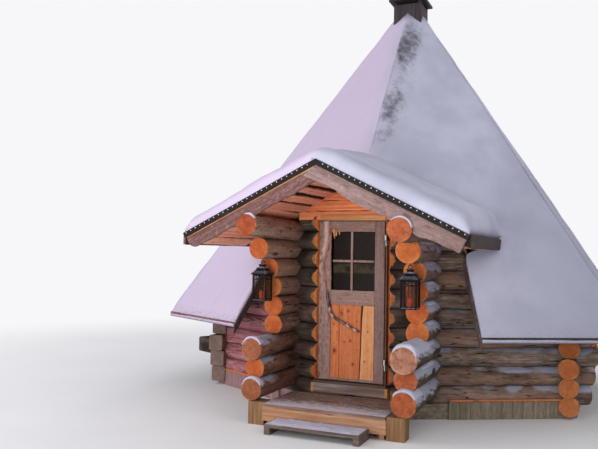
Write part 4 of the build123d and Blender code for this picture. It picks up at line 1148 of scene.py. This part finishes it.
# %% Felt nails
def nail_heads(places, way, radius):
    """Low domes at places, facing a way: three rings of radius x (1, 0.8, 0.02), at radius x (-0.2, 0.35, 0.5)."""
    way = np.asarray(way, float) / np.linalg.norm(way)
    level, up = frame_of(way)
    angle = np.linspace(0, 2 * np.pi, 8, endpoint=False)
    ring = np.cos(angle)[:, None] * level + np.sin(angle)[:, None] * up
    shares, rises = np.array([1.0, 0.8, 0.02]), np.array([-0.2, 0.35, 0.5]) * radius
    dome = shares[:, None, None] * radius * ring + rises[:, None, None] * way
    heads = [surface(np.asarray(p, float) + dome, grid_quads(3, 8, closed=True)) for p in places]
    return [facing(head, way) for head in heads]


felt_face, nail_step = -3.6045, 0.062
nail_places = []
for side in (-1, 1):
    slope_way, normal = on_slope(side)
    for run in np.arange(0.10, slope_length - 0.03, nail_step):
        nail_places.append(np.array([0, felt_face, ridge]) + slope_way * run - normal * 0.016)
print("felt nails", len(nail_places))


# %% [markdown]
# ## The door
# The door is a frame of two stiles and three rails round a panel of three boards below and a window above.
# The left stile is cut from a gnarled trunk: a swelling of pale bark and a long red crack run down it. It could be
# sculpted by hand, but a script has no hands. Each board is worked out as a height over the front view, so that a
# knot or a crack sits where it is in the photograph.

# %% Door boards
leaf_face, leaf_half = door_y - 0.043, 0.389
leaf_low, leaf_high = 0.387, 2.187
rail_left, rail_right = -0.244, 0.276
crack_line = np.array([(-0.259, 2.06), (-0.261, 1.959), (-0.295, 1.799), (-0.330, 1.718), (-0.323, 1.649),
                       (-0.302, 1.479), (-0.275, 1.366), (-0.249, 1.23), (-0.262, 1.05), (-0.268, 0.90)])[::-1]
panel_gap = np.array([(0.134, 1.237), (0.124, 1.08), (0.122, 0.803), (0.105, 0.403)])[::-1]


def stile_rise(x, z):
    """Gnarled ridge: a swelling left of the crack line, and a sharp groove on it."""
    line = np.interp(z, crack_line[:, 1], crack_line[:, 0])
    upper = smoothstep(0.85, 1.35, z)
    bump = 0.016 * np.exp(-((x - line + 0.040) / 0.030) ** 2) * (0.6 + 0.5 * np.sin(z * 9.0)) * upper
    low_bump = 0.012 * np.exp(-((x + 0.345) / 0.03) ** 2 - ((z - 0.72) / 0.25) ** 2)
    groove = 0.007 * np.exp(-((x - line) / 0.006) ** 2) * upper
    torn = 0.0035 * lumps(np.stack([x, 0 * x, 0.6 * z], -1), 0.025, 67) * upper
    return np.clip(bump, 0, None) + low_bump - groove + torn


def stile_marks(x, z):
    """Crack on the line, pale bark on the swelling, and one knot."""
    field = np.stack([x, 0 * x, 0.5 * z], -1)
    line = np.interp(z, crack_line[:, 1], crack_line[:, 0]) + 0.006 * lumps(field, 0.05, 68)
    upper = smoothstep(0.85, 1.3, z)
    crack = 0.85 * np.exp(-((x - line) / 0.0055) ** 2) * upper * smoothstep(-0.8, 0.2, lumps(field, 0.06, 69))
    red = 0.45 * np.exp(-((x - line - 0.004) / 0.018) ** 2) * upper * smoothstep(-0.3, 0.6, lumps(field, 0.045, 70))
    pale = 0.75 * np.exp(-((x - line + 0.050) / 0.022) ** 2) * upper * smoothstep(1.2, 1.9, z)
    bark = -0.7 * smoothstep(0.2, 0.9, lumps(field, 0.04, 71)) * smoothstep(-0.33, -0.37, x)
    return crack, pale + bark, red


def knot_marks(*knots):
    """Knots at (x, z, width, height): 1 in each heart, falling to 0 at its rim."""
    def marks(x, z):
        """No crack, no bark, and the nearest knot's height."""
        heart = np.max([np.exp(-((x - a) / w) ** 2 - ((z - b) / h) ** 2) for a, b, w, h in knots], axis=0)
        return 0 * x, 0 * x, heart
    return marks


print("crack from", crack_line[0], "to", crack_line[-1])


# %% Stiles and rails
def top_rail_marks(x, z):
    """The top rail is a little darker, with one knot."""
    return 0 * x, 0 * x - 0.25, np.exp(-((x - 0.05) / 0.012) ** 2 - ((z - 2.12) / 0.008) ** 2)


lock_knots = knot_marks((-0.12, 1.30, 0.014, 0.008), (0.17, 1.35, 0.010, 0.007))
door_frame_boards = [
    carved("z", leaf_low, leaf_high, straight(-leaf_half), straight(-0.243, 0.004, 31), leaf_face + 0.004, 0.034, 201,
           rise=stile_rise, marks=stile_marks),
    carved("z", leaf_low, leaf_high, straight(0.275, 0.002, 33), straight(leaf_half), leaf_face, 0.036, 211, finish=1),
    carved("x", rail_left, rail_right, straight(2.066, 0.003, 35), straight(leaf_high), leaf_face + 0.003, 0.034, 221,
           marks=top_rail_marks, finish=2),
    carved("x", rail_left, rail_right, straight(1.236, 0.003, 37), straight(1.404, 0.002, 38), leaf_face + 0.004,
           0.034, 231, marks=lock_knots, finish=2),
    carved("x", rail_left, rail_right, straight(leaf_low), straight(0.418, 0.002, 39), leaf_face + 0.006, 0.030, 241,
           finish=2)]
piece("door_stiles_and_rails", door_frame_boards, [stile_left, stile_right, rail_wood], body="door",
      replaces=["door_leaf"])


# %% Panel boards
panel_face, panel_low, panel_high = leaf_face + 0.010, 0.412, 1.240


def gap_edge(shift, widen):
    """Edge beside the wide dark gap: its line, shifted, with a widening towards the top."""
    def edge(run):
        """Place of the edge at a height."""
        return np.interp(run, panel_gap[:, 1], panel_gap[:, 0]) + shift * (1 + widen * smoothstep(0.8, 1.24, run))
    return edge


left_marks = knot_marks((-0.192, 0.719, 0.023, 0.034), (-0.20, 1.02, 0.010, 0.014), (-0.160, 0.93, 0.006, 0.009))
right_marks = knot_marks((0.20, 0.95, 0.008, 0.010), (0.165, 0.62, 0.009, 0.012))
middle_knots = knot_marks((-0.031, 1.173, 0.015, 0.018), (0.031, 0.58, 0.016, 0.020), (-0.002, 0.839, 0.016, 0.016),
                          (-0.073, 0.823, 0.010, 0.013), (0.075, 1.06, 0.009, 0.012), (0.085, 0.74, 0.007, 0.010))


def middle_marks(x, z):
    """Middle board: several knots, and a grey stain at its upper left."""
    crack, _, heart = middle_knots(x, z)
    rag = 1 + 0.5 * lumps(np.stack([x, 0 * x, z], -1), 0.03, 66)
    stain = 0.9 * rag * np.exp(-((x + 0.108) / 0.020) ** 2 - ((z - 1.135) / 0.045) ** 2)
    return np.maximum(crack, np.clip(stain * 0.8, 0, 0.9)), 0 * x - 0.10, heart


panels = [carved("z", panel_low, panel_high, straight(-0.242), straight(-0.139, 0.003, 51), panel_face, 0.018, 251,
                 marks=left_marks),
          carved("z", panel_low, panel_high, straight(-0.135, 0.003, 51), gap_edge(-0.004, 1.2), panel_face - 0.003,
                 0.020, 261, marks=middle_marks),
          carved("z", panel_low, panel_high, gap_edge(0.004, 1.6), straight(0.272), panel_face, 0.018, 271,
                 marks=right_marks, finish=1)]
# Painted shade: a near-black board behind the wide gap stands for the dark inside.
behind = board((0.12, panel_face + 0.020, 0.42), (0.12, panel_face + 0.020, 1.23), (1, 0, 0), 0.10, 0.006, 281,
               finish=2)
piece("door_panel_boards", panels + [behind], [panel_red, panel_pale, gap_painted_shade], body="door",
      replaces=["door_boards"])


# %% [markdown]
# ### Splinters and the branch handle
# Torn fibres hang from the top rail over the window. The handle is a crooked branch with its bark on. A curve with
# a round bevel could be both, but it would be as smooth as a pipe. So each is a tube along a line of points,
# swollen by lumps, and thicker at the forks where twigs were cut off.


# %% Tubes with bark
def bark_tube(points, radii, seed, turns=20, steps=60):
    """Tube along a smooth line through points: ring of a radius that swells with lumps, closed at both ends."""
    points, radii = np.asarray(points, float), np.asarray(radii, float)
    run = np.concatenate([[0], np.cumsum(np.linalg.norm(np.diff(points, axis=0), axis=1))])
    s = np.linspace(0, run[-1], steps)
    line = np.stack([np.interp(s, run, points[:, i]) for i in range(3)], -1)
    for _ in range(4):
        line[1:-1] = (line[:-2] + 2 * line[1:-1] + line[2:]) / 4
    way = np.gradient(line, axis=0)
    way /= np.linalg.norm(way, axis=1, keepdims=True)
    side = np.cross(way, (0, 1.0, 0))
    side /= np.linalg.norm(side, axis=1, keepdims=True)
    up = np.cross(side, way)
    angle = np.linspace(0, 2 * np.pi, turns, endpoint=False)
    cosine, sine = np.cos(angle), np.sin(angle)
    field = np.stack(np.broadcast_arrays(s[:, None], cosine * 0.03, sine * 0.03), -1)
    swell = 1 + 0.10 * lumps(field, 0.08, seed) + 0.05 * lumps(field, 0.02, seed + 1)
    radius = np.interp(s, run, radii)[:, None] * swell
    radius[0], radius[-1] = radius[0] * 0.02, radius[-1] * 0.02
    line[0], line[-1] = line[1], line[-2]
    ring = cosine[None, :, None] * side[:, None] + sine[None, :, None] * up[:, None]
    mark = np.stack([0 * radius, 0.6 * lumps(field, 0.10, seed + 2), 0 * radius], -1)
    made = surface(line[:, None] + radius[..., None] * ring, grid_quads(steps, turns, closed=True),
                   grain=field, mark=mark)
    return outward(made, (steps // 2) * turns, line[steps // 2])


print("a short tube has", len(bark_tube([(0, 0, 0), (0, 0, 1)], [0.01, 0.01], 1, steps=10)["quads"]), "faces")


# %% Splinters and branch
fibres = ((-0.214, 0.008, 0.085, 0.019), (-0.182, -0.002, 0.055, 0.016), (-0.150, 0.004, 0.038, 0.013))
splinters = [bark_tube([(x, leaf_face + 0.004, 2.10), (x + lean, leaf_face - 0.004, 2.06 - long / 2),
                        (x + 1.6 * lean, leaf_face - 0.006, 2.06 - long)], [thick, 0.6 * thick, 0.001], 300 + i,
                       turns=10, steps=14)
             for i, (x, lean, long, thick) in enumerate(fibres)]
piece("torn_rail_splinters", splinters, [yellow_board], body="door")

branch_bark = board_wood("branch_bark", (0.060, 0.028, 0.026), (0.19, 0.105, 0.095), (0.48, 0.36, 0.34),
                         0.2, 18.0, 0.1, 0.7, ((0.50, 0.42, 0.42), (0.05, 0.022, 0.020)))
branch_y = -2.516
branch = bark_tube([(-0.285, branch_y + 0.012, 1.385), (-0.270, branch_y, 1.31), (-0.232, branch_y, 1.150),
                    (-0.195, branch_y, 1.095), (-0.040, branch_y, 1.02), (0.055, branch_y, 0.972),
                    (0.118, branch_y + 0.004, 0.945)],
                   [0.011, 0.0135, 0.016, 0.017, 0.0155, 0.0145, 0.013], 320, turns=24, steps=90)
stubs = [bark_tube([(-0.232, branch_y, 1.15), (-0.252, branch_y - 0.004, 1.118)], [0.010, 0.007], 330, steps=10),
         bark_tube([(-0.035, branch_y, 1.02), (-0.020, branch_y - 0.004, 1.046)], [0.009, 0.006], 332, steps=10)]
stubs += [bark_tube([(x, branch_y + 0.004, z), (x, leaf_face + 0.006, z)], [0.009, 0.009], 340 + i, steps=12)
          for i, (x, z) in enumerate(((-0.268, 1.300), (-0.205, 1.105), (0.090, 0.953)))]
piece("bark_branch_handle", [branch] + stubs, [branch_bark], body="door", replaces=["branch_handle"])


# %% [markdown]
# ## Lanterns
# Two candle lanterns hang from the wings' upper logs. Each is a square box of four posts with glazing bars, a
# stepped lid whose corners sweep, a chimney, and a ring. Cubes could be joined for the lid, but its edges would
# need bevels. So its profile is a stack of square rings with rounded corners, and the bars are plain thin boxes.


# %% Lantern shapes
lantern_y, ring_points = -3.05, 32
lantern_names = {1: "right_lantern", -1: "left_lantern"}
foot_rows = ((0.080, 0.0), (0.086, 0.003), (0.086, 0.011), (0.078, 0.016))
lid_rows = ((0.080, 0.0), (0.086, 0.004), (0.086, 0.012), (0.101, 0.014), (0.101, 0.022), (0.090, 0.034),
            (0.069, 0.055), (0.051, 0.078), (0.056, 0.080), (0.056, 0.084), (0.034, 0.096), (0.030, 0.099),
            (0.030, 0.119), (0.038, 0.120), (0.038, 0.124), (0.012, 0.134))


def square_stack(centre, base, rows):
    """Square rings stacked up: each row is (half width, height over the base); corners are rounded a little."""
    x, y = centre
    t = np.linspace(0, 2 * np.pi, ring_points, endpoint=False) + np.pi / 4
    power = 1.0 / 0.06
    around = (np.abs(np.cos(t)) ** power + np.abs(np.sin(t)) ** power) ** (-1 / power)
    ring = np.stack([np.cos(t) * around, np.sin(t) * around], -1)
    rows = np.array([(0.0005, rows[0][1])] + list(rows) + [(0.0005, rows[-1][1])], float)
    flat = rows[:, None, :1] * ring[None]
    heights = np.broadcast_to(base + rows[:, 1][:, None, None], flat.shape[:2] + (1,))
    return surface(np.concatenate([flat + (x, y), heights], -1), grid_quads(len(rows), ring_points, closed=True))


print("a tray has", len(square_stack((0, 0), 0, foot_rows)["quads"]), "faces")


# %% Rings and bars
def ring_at(centre, radius, thick, steps=28, turns=10):
    """Standing ring facing the front, a torus: a circle of a radius, with a thin circle round each of its points."""
    a, b = np.meshgrid(np.linspace(0, 2 * np.pi, steps, endpoint=False),
                       np.linspace(0, 2 * np.pi, turns, endpoint=False), indexing="ij")
    out = radius + thick * np.cos(b)
    points = np.stack([centre[0] + out * np.cos(a), centre[1] + thick * np.sin(b), centre[2] + out * np.sin(a)], -1)
    first = np.arange(turns)
    last = first + (steps - 1) * turns
    seam = np.stack([last, np.roll(last, -1), np.roll(first, -1), first], -1)
    return surface(points, np.concatenate([grid_quads(steps, turns, closed=True), seam]))


def bar(start, end, thick):
    """Thin square bar between two points."""
    start, end = np.asarray(start, float), np.asarray(end, float)
    way = (end - start) / np.linalg.norm(end - start)
    first = np.array([0, 1.0, 0]) if abs(way[0]) > 0.9 else np.array([1.0, 0, 0])
    second = np.cross(way, first)
    h = thick / 2
    ring = np.array([h * (-first - second), h * (first - second), h * (first + second), h * (-first + second)])
    quads = np.array([(0, 1, 5, 4), (1, 2, 6, 5), (2, 3, 7, 6), (3, 0, 4, 7), (3, 2, 1, 0), (4, 5, 6, 7)])
    return outward(surface(np.concatenate([start + ring, end + ring]), quads), 0, (start + end) / 2)


print("a bar has", len(bar((0, 0, 0), (0, 0, 1), 0.01)["quads"]), "faces")


# %% Lanterns
def lantern(side):
    """Iron parts of a lantern: trays, posts, glazing bars, stepped lid, chimney, ring and stem."""
    low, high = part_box(lantern_names[side])
    x, y, foot, top = side * wing_x, lantern_y, low[2], high[2]
    body, half = foot + 0.014 + 0.262, 0.076
    parts = [square_stack((x, y), foot, foot_rows), square_stack((x, y), body, lid_rows)]
    for a in (-1, 1):
        for b in (-1, 1):
            post = np.array([x + a * half, y + b * half, 0])
            parts.append(bar(post + (0, 0, foot + 0.010), post + (0, 0, body + 0.004), 0.013))
        for c in (-0.5, 0.5):
            for stand in (np.array([x + c * half, y + a * half, 0]), np.array([x + a * half, y + c * half, 0])):
                parts.append(bar(stand + (0, 0, foot + 0.012), stand + (0, 0, body + 0.002), 0.005))
        for z in (foot + 0.022, foot + 0.235):
            parts.append(bar((x - half, y + a * half, z), (x + half, y + a * half, z), 0.007))
            parts.append(bar((x + a * half, y - half, z), (x + a * half, y + half, z), 0.007))
    ring_r = (top - 0.016 - (body + 0.128)) / 2
    parts.append(ring_at((x, y, body + 0.130 + ring_r), ring_r, 0.0045))
    parts.append(bar((x, y, top - 0.020), (x, y, top + 0.012), 0.007))
    return parts


# %% [markdown]
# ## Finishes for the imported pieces
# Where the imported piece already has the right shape, a copy of it could be remade as a new mesh, but that gains
# nothing: only its material changes. These finishes read the object's own coordinates.


# %% Metal, glass and felt
def felt_finish():
    """Roofing felt: black, slightly sandy."""
    f = Finish("black_roofing_felt", roughness=0.9, specular=0.2)
    grit = f.noise(f.place((260, 260, 260)), detail=2)
    worn = f.noise(f.place((9, 9, 9)), detail=5)
    colour = f.ramp(grit, (0.3, (0.008, 0.006, 0.006)), (0.7, (0.026, 0.019, 0.018)))
    colour = f.mix(f.level(worn, 0.58, 0.80), colour, (0.045, 0.036, 0.038))
    return f.finish(colour, grit, 0.3, 0.001)


def metal_finish(name, base, edge, roughness, metallic=0.0, frost_and_painted_highlight=0.0, specular=0.25):
    """Painted or bare metal with slight wear; pale grains on faces that look up are partly frost, partly painted
    highlight.
    """
    f = Finish(name, roughness=roughness, specular=specular)
    f.shader.inputs["Metallic"].default_value = metallic
    wear = f.noise(f.place((35, 35, 35)), detail=5)
    colour = f.mix(f.level(wear, 0.55, 0.8), base, edge)
    if frost_and_painted_highlight:
        # Partly frost, partly painted highlight: pale grains on the faces that look up, such as the lantern lid's
        # steps.
        up = f.upward()
        grains = f.noise(f.place((70, 70, 70)), detail=4)
        lying = f.times(f.level(up, 0.60, 0.90), f.level(grains, 0.36, 0.50))
        colour = f.mix(f.times(lying, frost_and_painted_highlight), colour, frost_colour)
    return f.finish(colour, wear, 0.15, 0.001)


def hinge_finish():
    """Hinge steel: a painted highlight along one thin upright line, brown in the shade on both sides of it."""
    f = Finish("hinge_steel_painted_highlight", roughness=0.45, specular=0.3)
    wear = f.noise(f.place((40, 40, 12)), detail=5)
    # Painted highlight: a thin pale upright line on the hinges.
    line = f.rest(f.level(f.apart(f.axis(0), 0.398), 0.006, 0.010))
    bright = f.ramp(wear, (0.35, (0.40, 0.33, 0.28)), (0.6, (0.70, 0.62, 0.56)))
    return f.finish(f.mix(line, (0.075, 0.045, 0.034), bright), wear, 0.2, 0.001)


def wax_finish():
    """Red candle wax: bright low down, darker towards the top behind the sooty panes."""
    f = Finish("red_candle_wax", roughness=0.5, specular=0.2)
    cloud = f.noise(f.place((50, 50, 50)), detail=3)
    colour = f.ramp(cloud, (0.3, (0.75, 0.060, 0.020)), (0.7, (0.95, 0.16, 0.05)))
    return f.finish(f.mix(f.level(f.axis(2), 1.36, 1.42), colour, (0.20, 0.050, 0.025)), cloud, 0.2, 0.001)


def glass_finish(name, colour, alpha, band=None):
    """Glass as a dark gloss with dust: on the opaque window, painted shade of the room behind; a band of heights may
    show a paler thing in that room.
    """
    f = Finish(name, roughness=0.15, specular=0.03)
    dust = f.noise(f.place((14, 14, 14)), detail=4)
    f.shader.inputs["Alpha"].default_value = alpha
    seen = f.mix(f.times(dust, 0.05), colour, (0.16, 0.12, 0.09))
    specks = f.noise(f.place((130, 130, 130)), detail=2)
    seen = f.mix(f.times(f.level(specks, 0.64, 0.74), 0.5), seen, (0.14, 0.11, 0.09))
    if band:
        height = f.axis(2)
        low = f.level(height, band[0], band[0] + 0.02)
        high = f.rest(f.level(height, band[1] - 0.02, band[1]))
        seen = f.mix(f.times(f.times(low, high), f.level(dust, 0.3, 0.6)), seen, (0.050, 0.036, 0.018))
    return f.finish(seen)


# %% Metal and glass pieces
felt = felt_finish()
black_metal = metal_finish("black_lantern_paint", (0.007, 0.006, 0.007), (0.022, 0.019, 0.021), 0.7, frost_and_painted_highlight=0.9,
                           specular=0.08)
cap_metal = metal_finish("black_cap_paint", (0.018, 0.017, 0.020), (0.05, 0.045, 0.05), 0.6)
painted_highlight_steel = hinge_finish()
nail_steel = metal_finish("pale_felt_nails", (0.62, 0.60, 0.66), (0.45, 0.43, 0.47), 0.5, 0.2)
# Painted shade: the opaque door window is near black for the dark room behind it.
window_painted_shade = glass_finish("painted_shade_door_window", (0.007, 0.0035, 0.003), 1.0, (1.59, 1.71))
lantern_glass = glass_finish("lantern_glass", (0.035, 0.016, 0.010), 0.45)
red_wax = wax_finish()
piece("felt_nail_heads", nail_heads(nail_places, (0, -1, 0), 0.0065), [nail_steel])
for side, name in lantern_names.items():
    piece(name + "_ironwork", lantern(side), [black_metal], replaces=[name], smooth=False)
boxes = [square_stack((side * wing_x, lantern_y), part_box(name)[0][2], ((0.073, 0.013), (0.073, 0.279)))
         for side, name in lantern_names.items()]
piece("lantern_glass_boxes", boxes, [lantern_glass], replaces=["lantern_panes"], smooth=False)


# %% [markdown]
# ### Wood on the imported pieces
# Sills, posts and deck are plain sawn timber. A wood texture of rings could be laid on them, but no ring shows at
# this distance. So the grain is noise that is stretched along one axis, and knots are cells with dark hearts. Two
# tones can meet at the middle of the cabin, because its left side is redder. On the eave boards the right-hand
# tone is near black: a painted shadow under the right eave.


# %% Wood finishes
def plain_wood(name, along, dark, middle, pale, stain=0.5, knots=0.0, other=None, ends=None, snowy=None):
    """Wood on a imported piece: noise stretched along one axis; a second tone right of the middle; toned board ends.

    A snowy piece is dusted between two depths, most at the first."""
    f = Finish(name, roughness=0.78, specular=0.25)
    scale, coarse, cell = [34.0, 34.0, 34.0], [6.0, 6.0, 6.0], [9.0, 2.0, 11.0]
    scale[along], coarse[along], cell[along] = 1.6, 1.2, 3.4
    lines = f.noise(f.place(tuple(scale)), detail=6, roughness=0.62)
    patches = f.noise(f.place(tuple(coarse)), detail=4)
    colour = f.ramp(lines, (0.3, dark), (0.5, middle), (0.7, pale))
    across = f.axis(0)
    if other:
        second = f.ramp(lines, (0.3, other[0]), (0.5, other[1]), (0.7, other[2]))
        colour = f.mix(f.level(across, -0.05, 0.05), colour, second)
    colour = f.mix(f.times(f.level(patches, 0.48, 0.72), stain), colour, shaded(dark, 0.6))
    if knots:
        cells = f.node("ShaderNodeTexVoronoi", {"feature": "F1"}, Vector=f.place(tuple(cell)), Scale=1.0)
        knot = f.rest(f.level(cells.outputs["Distance"], 0.08, 0.26))
        colour = f.mix(f.times(knot, knots), colour, shaded(dark, 0.25))
    if snowy:
        flakes = f.noise(f.place((16, 42, 20)), detail=7, roughness=0.75)
        near = f.times(f.rest(f.level(f.axis(1), *snowy)), 0.22)
        lying = f.times(f.level(f.plus(near, flakes), 0.52, 0.66), f.level(f.upward(), 0.5, 0.9))
        colour = f.mix(f.times(lying, 0.9), colour, (0.58, 0.55, 0.62))
    if ends:
        far = f.level(f.maths("ABSOLUTE", across), ends[0], ends[0] + 0.02)
        colour = f.mix(far, colour, ends[1])
    return f.finish(colour, lines, 0.4, 0.003)


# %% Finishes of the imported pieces
yellow = ((0.34, 0.13, 0.045), (0.47, 0.20, 0.075), (0.60, 0.32, 0.14))
node_finish = {
    "sill_beams": plain_wood("sill_boards", 0, (0.17, 0.09, 0.09), (0.28, 0.165, 0.17), (0.38, 0.26, 0.26),
                             other=((0.12, 0.098, 0.070), (0.20, 0.165, 0.120), (0.31, 0.265, 0.21))),
    "floor": plain_wood("floor_boards", 0, (0.25, 0.13, 0.06), (0.35, 0.2, 0.1), (0.45, 0.28, 0.15)),
    "smoke_hood": plain_wood("hood_boards", 2, (0.022, 0.015, 0.020), (0.045, 0.032, 0.042), (0.085, 0.060, 0.075)),
    "door_frame": plain_wood("door_frame_wood", 2, (0.10, 0.055, 0.04), (0.20, 0.115, 0.085), (0.30, 0.20, 0.16)),
    "threshold": plain_wood("threshold_wood", 0, (0.11, 0.062, 0.050), (0.20, 0.140, 0.125), (0.36, 0.30, 0.29), 0.6,
                            ends=(0.41, (0.46, 0.20, 0.075))),
    "drip_strip": plain_wood("drip_strip_wood", 0, (0.045, 0.026, 0.018), (0.085, 0.050, 0.036), (0.14, 0.09, 0.065)),
    "porch_posts": plain_wood("post_wood", 2, (0.13, 0.07, 0.03), (0.23, 0.12, 0.055), (0.32, 0.19, 0.09)),
    "deck_planks": plain_wood("deck_plank_wood", 0, (0.110, 0.062, 0.044), (0.220, 0.130, 0.095), (0.38, 0.280, 0.250),
                              snowy=(-3.20, -2.75)),
    "front_step": plain_wood("step_wood", 0, (0.07, 0.045, 0.035), (0.14, 0.10, 0.085), (0.24, 0.19, 0.17)),
    "door_window_bars": plain_wood("window_bar_wood", 2, (0.17, 0.10, 0.08), (0.29, 0.19, 0.16), (0.38, 0.28, 0.25)),
    "verge_boards": plain_wood("verge_board_wood", 2, (0.022, 0.014, 0.012), (0.038, 0.026, 0.022),
                               (0.07, 0.05, 0.045), other=((0.06, 0.035, 0.028), (0.10, 0.068, 0.058),
                                                           (0.17, 0.13, 0.12))),
    # Painted shadow: the right-hand tone of the eave boards is near black, for the shade under the right eave.
    "eave_boards": plain_wood("eave_wood_with_painted_shadow", 0, (0.11, 0.045, 0.050), (0.19, 0.085, 0.095), (0.28, 0.155, 0.175),
                              other=((0.020, 0.014, 0.012), (0.036, 0.026, 0.023), (0.065, 0.05, 0.047))),
    "door_head_board": plain_wood("head_board_pine", 0, *yellow, stain=0.3, knots=0.4),
    "deck_frame": plain_wood("deck_beam_wood", 0, (0.28, 0.12, 0.060), (0.40, 0.20, 0.105), (0.52, 0.33, 0.22),
                             0.4, 0.9),
    "hinge_straps": painted_highlight_steel, "hinge_knuckles": painted_highlight_steel, "hood_cap": cap_metal, "door_glass": window_painted_shade,
    "lantern_candles": red_wax, "porch_felt_edge": felt,
}
node_finish.update({name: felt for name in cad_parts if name.endswith("_roof")})
for name, material in node_finish.items():
    for material_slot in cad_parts[name].material_slots:
        material_slot.material = material
print("finished", len(node_finish), "CAD nodes")


# %% [markdown]
# ## Floor, light and camera
# A photograph's own winter light could be rebuilt, but the piece has to look right in any light. So a pale floor
# and sky with broad lamps show colours as they are written. Far from the cabin the floor's colour fades into the
# sky's for the camera alone, so no horizon shows. The camera has the photograph's viewpoint, found from the
# corners, eaves and logs that it shows.

# %% Floor
half = 60.0
floor_mesh = bpy.data.meshes.new("pale_floor")
floor_mesh.from_pydata([(-half, -half, 0), (half, -half, 0), (half, half, 0), (-half, half, 0)], [], [(0, 1, 2, 3)])
floor_piece = bpy.data.objects.new("pale_floor", floor_mesh)
bpy.context.scene.collection.objects.link(floor_piece)
sky_colour = (0.93, 0.93, 0.95)
floor_look = Finish("pale_floor", roughness=0.9, specular=0.1)
cloudy = floor_look.noise(floor_look.place((0.4, 0.4, 0.4)))
floor_look.finish(floor_look.ramp(cloudy, (0.3, (0.78, 0.78, 0.80)), (0.7, (0.84, 0.84, 0.85))))
away = floor_look.node("ShaderNodeVectorMath", {"operation": "LENGTH"}, i0=floor_look.place()).outputs["Value"]
seen = floor_look.node("ShaderNodeLightPath").outputs["Is Camera Ray"]
fade = floor_look.times(floor_look.level(away, 4.5, 11.0), seen)
glow = floor_look.node("ShaderNodeEmission")
glow.inputs["Color"].default_value = (*sky_colour, 1)
both = floor_look.node("ShaderNodeMixShader", i0=fade)
floor_look.tree.links.new(floor_look.shader.outputs[0], both.inputs[1])
floor_look.tree.links.new(glow.outputs[0], both.inputs[2])
floor_look.tree.links.new(both.outputs[0], floor_look.tree.nodes["Material Output"].inputs["Surface"])
floor_mesh.materials.append(floor_look.material)
print("floor", 2 * half, "m wide")

# %% Sky
world = bpy.data.worlds.new("studio")
bpy.context.scene.world = world
world.use_nodes = True
links, nodes = world.node_tree.links, world.node_tree.nodes
back, white = nodes["Background"], nodes.new("ShaderNodeBackground")
back.inputs["Color"].default_value, back.inputs["Strength"].default_value = (0.96, 0.96, 1.0, 1), 0.62
white.inputs["Color"].default_value, white.inputs["Strength"].default_value = (*sky_colour, 1), 1.0
paths, blend, either = nodes.new("ShaderNodeLightPath"), nodes.new("ShaderNodeMixShader"), nodes.new("ShaderNodeMath")
either.operation = "MAXIMUM"
links.new(paths.outputs["Is Camera Ray"], either.inputs[0])
links.new(paths.outputs["Is Glossy Ray"], either.inputs[1])
links.new(either.outputs[0], blend.inputs[0])
links.new(back.outputs[0], blend.inputs[1])
links.new(white.outputs[0], blend.inputs[2])
links.new(blend.outputs[0], nodes["World Output"].inputs["Surface"])
print("sky strength", round(back.inputs["Strength"].default_value, 2))


# %% Lamps
def lamp(name, place, aim, size, watts, spread=180):
    """Square area lamp at a place, turned to look at a point; spread is the full angle of its cone in degrees."""
    data = bpy.data.lights.new(name, "AREA")
    data.size, data.energy, data.spread = size, watts, np.radians(spread)
    made = bpy.data.objects.new(name, data)
    bpy.context.scene.collection.objects.link(made)
    made.location = place
    made.rotation_euler = (Vector(aim) - Vector(place)).to_track_quat("-Z", "Y").to_euler()
    print(name, watts, "W")


lamp("front_lamp", (-1.0, -12.0, 1.9), (0, -2.5, 1.4), 5.0, 418)
lamp("porch_lamp", (0.3, -7.3, 0.40), (0, -3.0, 4.6), 0.9, 32, spread=100)
lamp("left_lamp", (-9.0, -6.0, 7.0), (0, 0, 2.0), 7.0, 300)
lamp("right_lamp", (9.0, -5.0, 8.0), (0, 0, 2.0), 7.0, 200)
lamp("rear_lamp", (0.0, 11.0, 9.0), (0, 0, 2.5), 7.0, 340)

# %% Camera
camera_place, (yaw, pitch, roll) = (2.654, -10.036, 1.829), np.radians((23.633, 2.215, 0.969))
focal_pixels, photo_pixels, sensor = 707.33, 598, 36.0
ahead = np.array([-np.sin(yaw), np.cos(yaw), 0])
right_way, up_way = np.array([np.cos(yaw), np.sin(yaw), 0]), np.array([0, 0, 1.0])
look = ahead * np.cos(pitch) + up_way * np.sin(pitch)
top_way = up_way * np.cos(pitch) - ahead * np.sin(pitch)
camera_x = right_way * np.cos(roll) + top_way * np.sin(roll)
camera_y = top_way * np.cos(roll) - right_way * np.sin(roll)
camera_data = bpy.data.cameras.new("photo_camera")
camera_data.sensor_width, camera_data.lens, camera_data.clip_end = sensor, focal_pixels / photo_pixels * sensor, 200
camera = bpy.data.objects.new("photo_camera", camera_data)
bpy.context.scene.collection.objects.link(camera)
stand = Matrix(np.column_stack([camera_x, camera_y, -look]).tolist()).to_4x4()
stand.translation = Vector(camera_place) + Vector((0, middle_y, 0))
camera.matrix_world = stand
bpy.context.scene.camera = camera
bpy.context.scene.view_settings.view_transform = "Standard"
print("lens", round(camera_data.lens, 2), "mm")
